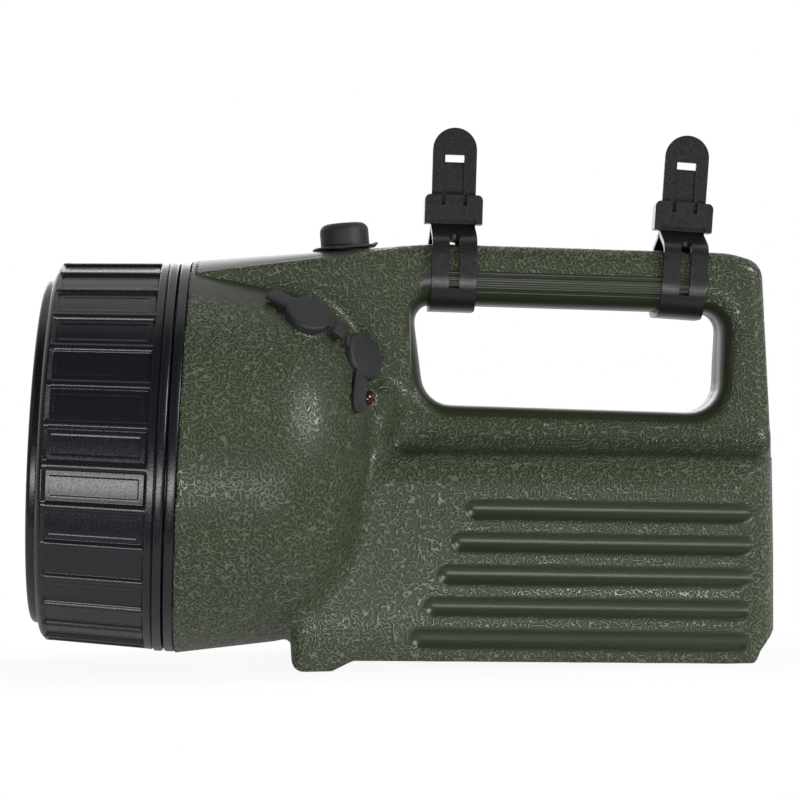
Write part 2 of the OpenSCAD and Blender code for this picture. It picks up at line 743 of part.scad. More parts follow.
function strap_loop(t) = let (half = handle_half + strap_gap + t, low = -handle_h - strap_gap - t)
    outline([
        [0, peak + t * 1.05, 0],
        [-half, peak + t * 1.05 - half * tan(18), handle_top_r + t],
        [-half, low, handle_low_r + t],
        [half, low, handle_low_r + t],
        [half, peak + t * 1.05 - half * tan(18), handle_top_r + t]]);

tail_r = strap_w / 2;
module strap_shape() {
    slot_at = tail_h - 10.3;
    difference() {
        union() {
            translate([-strap_w / 2, 0, 0]) along_x() linear_extrude(strap_w) difference() {
                polygon(strap_loop(strap_t));
                polygon(strap_loop(0));
            }
            translate([0, strap_t / 2, 0]) rotate([90, 0, 0]) linear_extrude(strap_t) {
                translate([-tail_r, peak + 0.6]) square([strap_w, tail_h - tail_r - peak - 0.6]);
                translate([0, tail_h - tail_r]) circle(tail_r);
            }
        }
        translate([-1.7, -40, -14.5]) cube([3.4, 80, 17]);
        translate([-3.15, -5, slot_at - 1.25]) cube([6.3, 10, 2.5]);
        translate([-3, -strap_t, peak + 11]) cube([6, strap_t - 0.4 + strap_t / 2 - 0.6, slot_at - peak - 12.2]);
    }
}

buckle_low = 7.2;
buckle_d = 7.4;
module buckle_shape() difference() {
    translate([0, buckle_d / 2, 0]) rotate([90, 0, 0]) linear_extrude(buckle_d) polygon(outline([
        [-buckle_w / 2, buckle_low, 0],
        [buckle_w / 2, buckle_low, 0],
        [buckle_w / 2, buckle_low + buckle_h, 1.8],
        [-buckle_w / 2, buckle_low + buckle_h, 1.8]]));
    translate([-strap_w / 2 - gap, -strap_t / 2 - gap, 0]) cube([strap_w + 2 * gap, strap_t + 2 * gap, 40]);
    translate([-strap_w / 2, -buckle_d, buckle_low - 1]) cube([strap_w, buckle_d - 2, 2.6]);
    for (x = [-3.6, 3.6]) translate([x - 0.6, -buckle_d, buckle_low + buckle_h - 3.4])
        cube([1.2, buckle_d - 1.6, 5]);
}

front_lean = 0;
rear_lean = 2.5;
module front_strap() color("#26292c") at_strap(front_strap_at, front_lean) strap_shape();
module rear_strap() color("#26292c") at_strap(opening_l - rear_strap_at, rear_lean) strap_shape();
module front_buckle() color("#1e2022") at_strap(front_strap_at, front_lean) buckle_shape();
module rear_buckle() color("#1e2022") at_strap(opening_l - rear_strap_at, rear_lean) buckle_shape();

// Battery on its pads, along the box's floor
pad_t = 2.4;
battery_floor = wall + 0.2;
module battery() color("#2b2f36") at_floor() translate([battery_start, 0, battery_floor + pad_t]) difference() {
    translate([0, -battery_w / 2, 0]) cube([battery_l, battery_w, battery_h]);
    translate([case_t, case_t - battery_w / 2, case_t])
        cube([battery_l - 2 * case_t, battery_w - 2 * case_t, battery_h - 2 * case_t]);
}
case_t = 2.5;
cells_h = 19;
module battery_cells() color("dimgray") at_floor()
    translate([battery_start + case_t + gap, case_t + gap - battery_w / 2, battery_floor + pad_t + case_t])
        cube([battery_l - 2 * case_t - 2 * gap, battery_w - 2 * case_t - 2 * gap, cells_h]);

module battery_terminals() color("silver") at_floor() for (y = [-12, 12])
    translate([battery_start - 6, y - 2.4, battery_floor + pad_t + battery_h - 6]) cube([6, 4.8, 0.8]);

module battery_pads() color("slategray") at_floor() {
    top = battery_floor + pad_t + battery_h;
    roof_drop = (battery_start + battery_l) * max(0, tan(box_slope) - tan(floor_slope));
    room = box_top - foot_rise - wall - top - roof_drop - 0.4;
    pad_half = box_half - 11;
    translate([battery_start + 8, -18, battery_floor]) cube([battery_l - 16, 36, pad_t]);
    translate([battery_start + 12, -pad_half, top]) cube([battery_l - 24, 2 * pad_half, room]);
}

// Charging board, upright in slots in front of the battery, with its parts toward the lamp
board_x = opening_x - 12;
board_t = 1.6;
board_half = box_half - 7;
board_h = 42;
board_low = 16;
module charge_board() color("seagreen")
    translate([board_x, -board_half, board_low]) cube([board_t, 2 * board_half, board_h]);

module board_parts() color("#33415a") {
    translate([board_x - 14, -7, board_low + 6]) cube([14, 14, 14]);
    for (y = [11 - board_half, board_half - 11]) translate([board_x, y, board_low + 10]) rotate([0, -90, 0]) cylinder(h = 11, r = 4);
    translate([board_x - 5, -14, board_low + 24]) cube([5, 7, 4]);
    translate([board_x - 3, 8, board_low + 22]) cube([3, 9, 7]);
}

// Leads: round wires that leave each end square and follow a cubic curve
function curve(p, t) = pow(1 - t, 3) * p[0] + 3 * t * pow(1 - t, 2) * p[1]
    + 3 * t * t * (1 - t) * p[2] + t * t * t * p[3];
function curve_way(p, t) = unit(3 * pow(1 - t, 2) * (p[1] - p[0]) + 6 * t * (1 - t) * (p[2] - p[1])
    + 3 * t * t * (p[3] - p[2]));
module wire(p, side, steps = 10) {
    sides = 8;
    points = [for (k = [0 : steps], i = [0 : sides - 1])
        let (
            way = curve_way(p, k / steps),
            a = unit(side - way * (side * way)),
            b = cross(way, a)
        )
        curve(p, k / steps) + lead_r * (a * cos(i * 360 / sides) + b * sin(i * 360 / sides))];
    last = steps * sides;
    polyhedron(points, concat(
        [[for (i = [0 : sides - 1]) i]],
        [[for (i = [sides - 1 : -1 : 0]) last + i]],
        [for (k = [0 : steps - 1], i = [0 : sides - 1])
            let (j = (i + 1) % sides)
            [k * sides + i, (k + 1) * sides + i, (k + 1) * sides + j, k * sides + j]]));
}

holder_end = neck_end - 16;
module lamp_lead() color("firebrick") for (y = [-4, 4])
    wire([head_point([0, y, holder_end]), head_point([0, y, holder_end - 12]),
        [board_x - 14, y, board_low + 32], [board_x, y, board_low + 32]], [0, 1, 0]);

function box_point(p) = [
    floor_x + p[0] * cos(floor_slope) + p[2] * sin(floor_slope),
    p[1],
    foot_rise - p[0] * sin(floor_slope) + p[2] * cos(floor_slope)];
module battery_lead() color("firebrick") for (y = [-12, 12]) {
    lug_end = [battery_start - 6, y, battery_floor + pad_t + battery_h - 5.6];
    wire([box_point(lug_end), box_point(lug_end - [5, 0, 0]),
        [board_x + board_t + 7, y, board_low + 36], [board_x + board_t, y, board_low + 36]], [0, 1, 0]);
}

function button_point(p) = [
    button_x + p[0] * cos(spine_rise) - p[2] * sin(spine_rise),
    p[1],
    button_z + p[0] * sin(spine_rise) + p[2] * cos(spine_rise)];
module switch_lead() color("firebrick") for (x = [-5, 5]) {
    tag_end = [x, 0, -switch_drop - switch_l - 6];
    wire([button_point(tag_end), button_point(tag_end - [0, 0, 14]),
        [board_x - 10 + x, 0, board_low + board_h + 14], [board_x + board_t / 2 + 0.4 * x, 0, board_low + board_h]],
        [0, 1, 0]);
}

left_shell();
right_shell();
shell_screws();
head_collar();
bezel();
lens();
lens_gasket();
reflector();
bulb_holder();
bulb_contact();
bulb_base();
bulb_glass();
boot_flange();
switch_button();
switch_plunger();
switch_body();
switch_terminals();
charge_socket();
aux_socket();
charge_cap();
aux_cap();
cap_link();
charge_lamp();
front_strap();
rear_strap();
front_buckle();
rear_buckle();
battery();
battery_cells();
battery_terminals();
battery_pads();
charge_board();
board_parts();
battery_lead();
lamp_lead();
switch_lead();
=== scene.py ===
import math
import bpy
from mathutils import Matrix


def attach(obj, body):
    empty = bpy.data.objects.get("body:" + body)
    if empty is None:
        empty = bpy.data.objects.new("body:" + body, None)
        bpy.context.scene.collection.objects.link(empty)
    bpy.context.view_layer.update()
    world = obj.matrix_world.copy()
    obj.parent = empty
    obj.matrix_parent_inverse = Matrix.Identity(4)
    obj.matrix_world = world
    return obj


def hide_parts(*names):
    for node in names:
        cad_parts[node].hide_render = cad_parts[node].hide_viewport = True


bl_info = {
    "name": "Rechargeable Flashlight",
    "version": (1, 0, 0),
    "blender": (4, 5, 0),
    "location": "3D View > Sidebar > Flashlight",
    "description": "Dresses the packed flashlight: casing, ribbed bezel, lamp, caps, straps and stage",
    "category": "Object",
}

import bmesh
import bpy
import numpy as np
from mathutils import Matrix

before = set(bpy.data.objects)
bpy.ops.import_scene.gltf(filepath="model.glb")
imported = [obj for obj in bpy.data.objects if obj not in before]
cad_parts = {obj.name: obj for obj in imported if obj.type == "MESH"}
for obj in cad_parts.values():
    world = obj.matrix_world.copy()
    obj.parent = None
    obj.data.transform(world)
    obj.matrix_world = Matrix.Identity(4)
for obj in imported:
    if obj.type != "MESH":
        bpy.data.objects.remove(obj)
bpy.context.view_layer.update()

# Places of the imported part, in millimetres
MM = 0.001
TILT = math.radians(3.6)
HEAD = np.array((-71.877, 0.0, 69.8))
REAR_X = 122.5
OPENING_X = 4.523
OPENING_L = 102.477
HANDLE_TOP = 139.2
HANDLE_H = 19.8
HANDLE_HALF = 15.0
HANDLE_EDGE = 9.0
HANDLE_TILT = math.radians(2.6)
BOX_TOP = 70.5
BOX_HALF = 33.0
BOX_SLOPE = math.radians(1.6)
FLOOR_X = -17.377
FOOT_RISE = 3.3
BUTTON = np.array((-17.077, 0.0, 137.996))
BUTTON_RISE = math.radians(3.7594)
CHARGE_AT = np.array((-30.581, -36.179, 114.616))
CHARGE_AXIS = np.array((0.31984, -0.649675, 0.689655))
AUX_AT = np.array((-13.0655, -28.367, 101.578))
AUX_AXIS = np.array((0.749663, -0.59973, 0.279874))
CHARGE_HINGE = np.array((-21.519, -35.898, 112.273))
AUX_HINGE = np.array((-18.253, -33.644, 108.097))
CHARGE_TONGUE = np.array((-42.7, -31.3, 122.6))
AUX_TONGUE = np.array((-15.2, -41.9, 83.8))
LAMP_AT = np.array((-11.198, -26.403, 88.26))
LAMP_AXIS = np.array((0.551685, -0.832543, 0.050153))
LINK_AXIS = np.array((0.5602, -0.654432, 0.507834))
SCREWS = ((-1.0, 127.2), (113.5, 122.2), (112.5, 58.5), (113.5, 17.0), (-25.4, 10.0), (-1.0, 73.5))

# Round forms of the casing, in millimetres
MOUTH_R = 65.0
MOUTH_BORE = 61.8
BOWL_CONE = math.radians(9)
BOWL_EDGE_R = 34.0
BOWL_EDGE_RING = 26.458
BOWL_EDGE_BACK = 26.0
SPINE_X = -65.79
SPINE_L = 69.3
SPINE_Z = 134.75
SPINE_ARCH = 65.2
SPINE_SPREAD = 0.3834
SPINE_RISE = 3.5
SPINE_END = 3.52
SPINE_FOOT = 61.5
WALL = 2.6
GROOVE_R = 3.9
GROOVE_SINK = 1.6
GROOVE_END = 3.2
BOSS_R = 6.9
SOCKET_R = 5.05
LAMP_R = 2.1
BUTTON_BORE = 8.4
SCREW_HEAD_R = 3.2
SCREW_POST_R = 4.6
SCREW_Y = 9.0

# Round forms of the head, along its axis from the casing's mouth
SLEEVE_R = 52.8
SLEEVE_FRONT = 36.0
LENS_R = 54.7
LENS_FRONT = 44.9
LENS_BACK = 41.9
MIRROR_WALL = 1.4
MIRROR_NECK_R = 9.9
MIRROR_BACK = 12.0
FOCAL = (SLEEVE_R - MIRROR_WALL - 1.44) ** 2 / (4 * (SLEEVE_FRONT + MIRROR_BACK))

# Straps, in millimetres
STRAP_HALF = 7.35
STRAP_THICK = 1.8
SLOT_HALF = 1.7
STRAP_Y = 16.3

# Camera, fitted to the photograph
VIEW_DISTANCE = 972
VIEW_AT = (0.3, 0, 87.447)
VIEW_YAW = math.radians(2.46)
VIEW_ROLL = math.radians(0.9)
PIXELS_PER_MM = 3
PICTURE_WIDTH = 800
SENSOR_WIDTH = 36


# Shapes

def tilted(angle):
    """Rows X, Y, Z of a frame turned about Y."""
    c = math.cos(angle)
    s = math.sin(angle)
    return np.array(((c, 0, -s), (0, 1, 0), (s, 0, c)))


HEAD_AXES = tilted(TILT - math.pi / 2)
HANDLE_AXES = tilted(HANDLE_TILT)
BUTTON_AXES = tilted(-BUTTON_RISE)


def smooth(low, high, value):
    """Smooth step from 0 at low to 1 at high."""
    t = np.clip((value - low) / (high - low), 0, 1)
    return t * t * (3 - 2 * t)


def meet(a, b, r):
    """Distance to two solids' overlap, edge rounded by r: min(-r, max(a, b)) + hypot of what passes -r."""
    return np.minimum(-r, np.maximum(a, b)) + np.hypot(np.maximum(a + r, 0), np.maximum(b + r, 0))


def join(a, b, r):
    """Distance to two solids together, their crease filled by a fillet of radius r."""
    return np.maximum(r, np.minimum(a, b)) - np.hypot(np.maximum(r - a, 0), np.maximum(r - b, 0))


def rounded(corners, steps=6, closed=True):
    """Outline through corners (x, y, r), each corner cut by an arc of radius r tangent to both its sides."""
    points = []
    for i, (x, y, r) in enumerate(corners):
        at = np.array((x, y), float)
        if r == 0 or (not closed and i in (0, len(corners) - 1)):
            points.append(at[None])
            continue
        before = np.array(corners[i - 1][:2]) - at
        after = np.array(corners[(i + 1) % len(corners)][:2]) - at
        before = before / np.linalg.norm(before)
        after = after / np.linalg.norm(after)
        half = math.acos(np.clip(before @ after, -1, 1)) / 2
        middle = (before + after) / np.linalg.norm(before + after)
        centre = at + middle * r / math.sin(half)
        start = at + before * r / math.tan(half) - centre
        end = at + after * r / math.tan(half) - centre
        first = math.atan2(start[1], start[0])
        sweep = (math.atan2(end[1], end[0]) - first + math.pi) % (2 * math.pi) - math.pi
        angle = first + sweep * np.linspace(0, 1, steps + 1)
        points.append(centre + r * np.column_stack((np.cos(angle), np.sin(angle))))
    return np.concatenate(points)


def outline_distance(points, x, z):
    """Signed distance to a closed outline: the least to its sides, negative where a ray crosses it oddly."""
    shape = np.broadcast(x, z).shape
    near = np.full(shape, np.inf)
    inside = np.zeros(shape, bool)
    for (ax, az), (bx, bz) in zip(points, np.roll(points, -1, axis=0)):
        ex = bx - ax
        ez = bz - az
        t = np.clip(((x - ax) * ex + (z - az) * ez) / (ex * ex + ez * ez + 1e-12), 0, 1)
        near = np.minimum(near, (x - ax - t * ex) ** 2 + (z - az - t * ez) ** 2)
        slope = ex / ez if abs(ez) > 1e-9 else 0.0
        inside ^= ((az > z) != (bz > z)) & (x < ax + (z - az) * slope)
    return np.where(inside, -1, 1) * np.sqrt(near)


def placed(points, at, axes):
    """Local points carried into the part's frame: at + x X + y Y + z Z, with the axes as rows."""
    return np.asarray(at) + points @ np.asarray(axes)


def axes_toward(axis, toward):
    """Rows X, Y, Z of a frame whose Z is the axis and whose X is as near as it can be to a direction."""
    z = axis / np.linalg.norm(axis)
    x = toward - z * (z @ toward)
    x = x / np.linalg.norm(x)
    return np.array((x, np.cross(z, x), z))


def revolve(profile, turns=96):
    """Profile (r, h) turned about the h axis: (r cos t, r sin t, h)."""
    t = np.linspace(0, 2 * np.pi, turns, endpoint=False)
    r = profile[:, :1]
    high = np.broadcast_to(profile[:, 1:], (len(profile), turns))
    return np.stack((r * np.cos(t), r * np.sin(t), high), -1)


def grid_faces(rows, columns, wrap_rows=False, wrap_columns=False, keep=None):
    """Quads of a grid of points, closed round either way, and only where keep is true."""
    index = np.arange(rows * columns).reshape(rows, columns)
    if wrap_rows:
        index = np.concatenate((index, index[:1]), 0)
    if wrap_columns:
        index = np.concatenate((index, index[:, :1]), 1)
    quads = np.stack((index[:-1, :-1], index[:-1, 1:], index[1:, 1:], index[1:, :-1]), -1)
    return quads.reshape(-1, 4) if keep is None else quads[keep]


def slab(front, back, keep):
    """Plate between two grids of points with holes: both faces where keep is true, walls where it ends."""
    rows = keep.shape[0] + 1
    columns = keep.shape[1] + 1
    count = rows * columns
    faces = grid_faces(rows, columns, keep=keep)
    index = np.arange(count).reshape(rows, columns)
    edge = np.pad(keep, 1)
    walls = [faces, faces[:, ::-1] + count]
    for shift, a, b in (((0, 1), index[:-1, :-1], index[:-1, 1:]), ((2, 1), index[1:, 1:], index[1:, :-1]),
                        ((1, 0), index[1:, :-1], index[:-1, :-1]), ((1, 2), index[:-1, 1:], index[1:, 1:])):
        beyond = edge[shift[0]:shift[0] + keep.shape[0], shift[1]:shift[1] + keep.shape[1]]
        open_side = keep & ~beyond
        a = a[open_side]
        b = b[open_side]
        walls.append(np.stack((b, a, a + count, b + count), -1))
    return np.concatenate((front.reshape(-1, 3), back.reshape(-1, 3))), np.concatenate(walls)


def ring(points, wrap_rows=True):
    """A turned surface as points and quads, its profile closed when wrap_rows is true."""
    return points.reshape(-1, 3), grid_faces(points.shape[0], points.shape[1], wrap_rows, True)


def mesh_of(name, points, *faces):
    """Mesh from points in millimetres and arrays of faces, put in as whole arrays."""
    mesh = bpy.data.meshes.new(name)
    mesh.vertices.add(len(points))
    mesh.vertices.foreach_set("co", (points * MM).astype(np.float32).ravel())
    sizes = np.concatenate([np.full(len(f), f.shape[1]) for f in faces])
    corners = np.concatenate([f.ravel() for f in faces])
    mesh.loops.add(len(corners))
    mesh.loops.foreach_set("vertex_index", corners.astype(np.int32))
    mesh.polygons.add(len(sizes))
    mesh.polygons.foreach_set("loop_start", (np.cumsum(sizes) - sizes).astype(np.int32))
    mesh.update(calc_edges=True)
    mesh.validate()
    return mesh


def merged(name, parts):
    """One mesh from several (points, quads): doubles merged, then faces turned outwards."""
    points = np.concatenate([p for p, _ in parts])
    starts = np.cumsum([0] + [len(p) for p, _ in parts[:-1]])
    mesh = mesh_of(name, points, np.concatenate([f + s for (_, f), s in zip(parts, starts)]))
    work = bmesh.new()
    work.from_mesh(mesh)
    bmesh.ops.remove_doubles(work, verts=work.verts, dist=2e-6)
    bmesh.ops.dissolve_degenerate(work, dist=1e-7, edges=work.edges)
    bmesh.ops.recalc_face_normals(work, faces=work.faces)
    work.to_mesh(mesh)
    work.free()
    return mesh


def soft_edges(piece, width, angle):
    """Bevel of two segments on the edges that are sharper than an angle."""
    edge = piece.modifiers.new("soft_edges", "BEVEL")
    edge.width = width * MM
    edge.segments = 2
    edge.limit_method = "ANGLE"
    edge.angle_limit = math.radians(angle)
    return edge


def put(name, data):
    """New object in the scene for a mesh, a light or a camera."""
    made = bpy.data.objects.new(name, data)
    bpy.context.scene.collection.objects.link(made)
    return made


def dress(mesh, body, material, nodes=(), crease=35, bevel=0.0):
    """Object for a mesh: material, smooth shading with creases, body, and the nodes it stands for."""
    piece = put(mesh.name, mesh)
    mesh.materials.append(material)
    mesh.polygons.foreach_set("use_smooth", np.ones(len(mesh.polygons), bool))
    mesh.set_sharp_from_angle(angle=math.radians(crease))
    if bevel:
        soft_edges(piece, bevel, 40).harden_normals = True
    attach(piece, body)
    if nodes:
        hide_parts(*nodes)
    return piece


def coat(name, material):
    """Gives a CAD node that stays visible its material, and returns it."""
    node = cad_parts[name]
    node.data.materials.clear()
    node.data.materials.append(material)
    return node


# Casing

def side_half(z):
    """Half width of the box, which tapers by 3 mm over its lowest 36 mm."""
    return BOX_HALF - 3 * np.maximum(0, 1 - z / 36)


def nose_half(x):
    """Half width of the box along its length, which grows by 2 mm from its nose to its rear."""
    return BOX_HALF - 2 + 2 * (x + 37.4) / 159.9


def groove_cut(x, y, z):
    """Distance to the five grooves: cylinders sunk into the side, with round ends."""
    turn = BOX_SLOPE + math.radians(0.3)
    nearest = np.inf
    for i in range(5):
        start = OPENING_X + 15 - 4.6 * i
        level = BOX_TOP - 18.6 - 10.4 * i
        long = REAR_X - 7 - i - start
        along = (x - start) * math.cos(turn) - (z - level) * math.sin(turn)
        height = (x - start) * math.sin(turn) + (z - level) * math.cos(turn)
        out = np.minimum(side_half(level - FOOT_RISE + 2), nose_half(x)) + GROOVE_R - GROOVE_SINK
        past = np.maximum(np.maximum(GROOVE_END - along, along - long + GROOVE_END), 0)
        away = np.sqrt((np.abs(y) - out) ** 2 + height ** 2 + past ** 2) - GROOVE_R
        nearest = np.minimum(nearest, away)
    return nearest


def loop_shapes():
    """Outlines of the handle's loop and of the finger opening in it."""
    def top(x):
        return HANDLE_TOP - (x - OPENING_X) * math.tan(HANDLE_TILT)

    rear = OPENING_X + OPENING_L
    drop = OPENING_L * math.tan(HANDLE_TILT)
    loop = rounded(((12, top(12) - 0.1, 40), (-0.48, top(-0.48) - 1.3, 0), (-0.48, 40, 0), (REAR_X, 40, 0),
                    (REAR_X, BOX_TOP + 4, 0), (REAR_X - 2, top(REAR_X) - 2.8, 7),
                    (REAR_X - 13, top(REAR_X - 13), 30)))
    hole = rounded(((OPENING_X, HANDLE_TOP - HANDLE_H, 6), (OPENING_X + 3.4, 86, 10),
                    (rear - 1.6, 86 - drop, 10), (rear, HANDLE_TOP - HANDLE_H - drop, 6)))
    return loop, hole


LOOP, HOLE = loop_shapes()
SIDE = rounded(((FLOOR_X - 20, BOX_TOP + 6, 0), (FLOOR_X - 20, 0, 4), (FLOOR_X - 7, 0, 0),
                (FLOOR_X, FOOT_RISE, 0), (104.5, 0, 0), (113.5, 0, 2), (115.5, 4, 1), (REAR_X, 12, 4),
                (REAR_X, BOX_TOP + 6, 0)))


def round_post(x, y, z, at, axis, r, low, high):
    """Distance to a round post along an axis, from low to high of its foot point."""
    off = (x - at[0], y - at[1], z - at[2])
    h = off[0] * axis[0] + off[1] * axis[1] + off[2] * axis[2]
    away = np.sqrt(np.maximum(off[0] ** 2 + off[1] ** 2 + off[2] ** 2 - h * h, 0))
    return np.maximum(meet(away - r, h - high, 0.3), low - h)


def casing_core(x, y, z):
    """Distance to the casing's plain outside: bowl, spine, handle loop and battery box joined by fillets."""
    wide = np.abs(y)
    up = (x - HEAD[0]) * math.sin(TILT) + (z - HEAD[2]) * math.cos(TILT)
    fore = (z - HEAD[2]) * math.sin(TILT) - (x - HEAD[0]) * math.cos(TILT)
    rho = np.hypot(up, y)
    wall = (rho - MOUTH_R - fore * math.tan(BOWL_CONE)) * math.cos(BOWL_CONE)
    past = rho - BOWL_EDGE_RING
    ahead = fore + BOWL_EDGE_BACK
    turn = (past > 0) & (past * math.sin(BOWL_CONE) + ahead * math.cos(BOWL_CONE) < 0)
    back = -BOWL_EDGE_BACK - BOWL_EDGE_R
    bowl = np.where(turn, np.hypot(past, ahead) - BOWL_EDGE_R, np.maximum(wall, back - fore))
    bowl = meet(bowl, fore, 0.5)
    part = np.clip((x - SPINE_X) / SPINE_L, 0, 1)
    arch = SPINE_ARCH * (1 - part)
    soft = np.maximum(5 * part, 0.8)
    top = SPINE_Z + (x - SPINE_X) * SPINE_RISE / SPINE_L
    across = np.clip(wide - 10 * part, 0, SPINE_SPREAD * arch)
    rise = np.sqrt(np.maximum(arch ** 2 - across ** 2, 0))
    crown = z - top + soft + arch - rise
    flank = wide - 10 * part - SPINE_SPREAD * arch
    proud = np.hypot(np.maximum(crown, 0), np.maximum(flank, 0))
    spine = np.minimum(np.maximum(crown, flank), 0) + proud - soft
    spine = np.maximum(np.maximum(spine, fore + 2), np.maximum(x - SPINE_END, SPINE_FOOT - z))
    loop = meet(wide - HANDLE_HALF, outline_distance(LOOP, x, z), 5.0)
    hole = -outline_distance(HOLE, x, z)
    loop = np.maximum(loop, meet(wide - HANDLE_HALF, hole, 7 + (HANDLE_EDGE - 7) * smooth(95, 110, z)))
    level = (x - FLOOR_X) * math.sin(BOX_SLOPE) + (z - FOOT_RISE) * math.cos(BOX_SLOPE)
    flank = wide - np.minimum(side_half(level), nose_half(x))
    box = meet(flank, level - BOX_TOP + FOOT_RISE, 10.0)
    box = np.maximum(box, meet(flank, x - REAR_X + 1.1, 15.0))
    box = np.maximum(box, meet(flank, FLOOR_X - 20 - x, 5.0))
    box = np.maximum(box, meet(flank, outline_distance(SIDE, x, z), 2.2))
    body = join(bowl, spine, 0.3 + 2.7 * smooth(-12, -30, fore))
    body = np.minimum(body, loop)
    rear = x - REAR_X + np.maximum(wide - 10, 0) ** 2 / 30
    fillet = np.maximum(join(body, box, 3.0 + 7.0 * smooth(-8, 14, x)), rear)
    return np.minimum(np.minimum(body, box), fillet), rho, fore


def casing_field(x, y, z, side, hollow=True):
    """Distance to one casing half: the core with bosses and holes, hollowed to a wall, with screw posts."""
    core, rho, fore = casing_core(x, y, z)
    wide = np.abs(y)
    body = core
    if side < 0:
        for at, axis in ((CHARGE_AT, CHARGE_AXIS), (AUX_AT, AUX_AXIS)):
            body = join(body, round_post(x, y, z, at, axis, BOSS_R, -9, 0), 2.2)
        body = join(body, round_post(x, y, z, LAMP_AT, LAMP_AXIS, 3.4, -7, 0), 1.5)
        # Swelling under the lamp, a capsule along run from low
        low = np.array((-10.5, -21.5, 71.0))
        run = np.array((-7.0, -17.5, 86.5)) - low
        off = (x - low[0], y - low[1], z - low[2])
        t = np.clip((off[0] * run[0] + off[1] * run[1] + off[2] * run[2]) / (run @ run), 0, 1)
        swell = np.sqrt(sum((o - t * r) ** 2 for o, r in zip(off, run))) - 5.0
        body = join(body, swell, 6.0)
        for at, axis, r in ((CHARGE_AT, CHARGE_AXIS, SOCKET_R), (AUX_AT, AUX_AXIS, SOCKET_R),
                            (LAMP_AT, LAMP_AXIS, LAMP_R)):
            body = np.maximum(body, -round_post(x, y, z, at, axis, r, -16, 12))
    body = meet(body, -groove_cut(x, y, z), 0.3)
    if hollow:
        mouth = np.maximum(rho - MOUTH_BORE, -5 - fore)
        body = np.maximum(body, -np.minimum(core + WALL, mouth))
        for sx, sz in SCREWS:
            body = np.minimum(body, np.maximum(np.hypot(x - sx, z - sz) - SCREW_POST_R, core + WALL / 2))
    if side > 0:
        for sx, sz in SCREWS:
            body = np.maximum(body, -np.maximum(np.hypot(x - sx, z - sz) - SCREW_HEAD_R, SCREW_Y - wide))
    return np.maximum(body, -round_post(x, y, z, BUTTON, BUTTON_AXES[2], BUTTON_BORE, -12, 9))


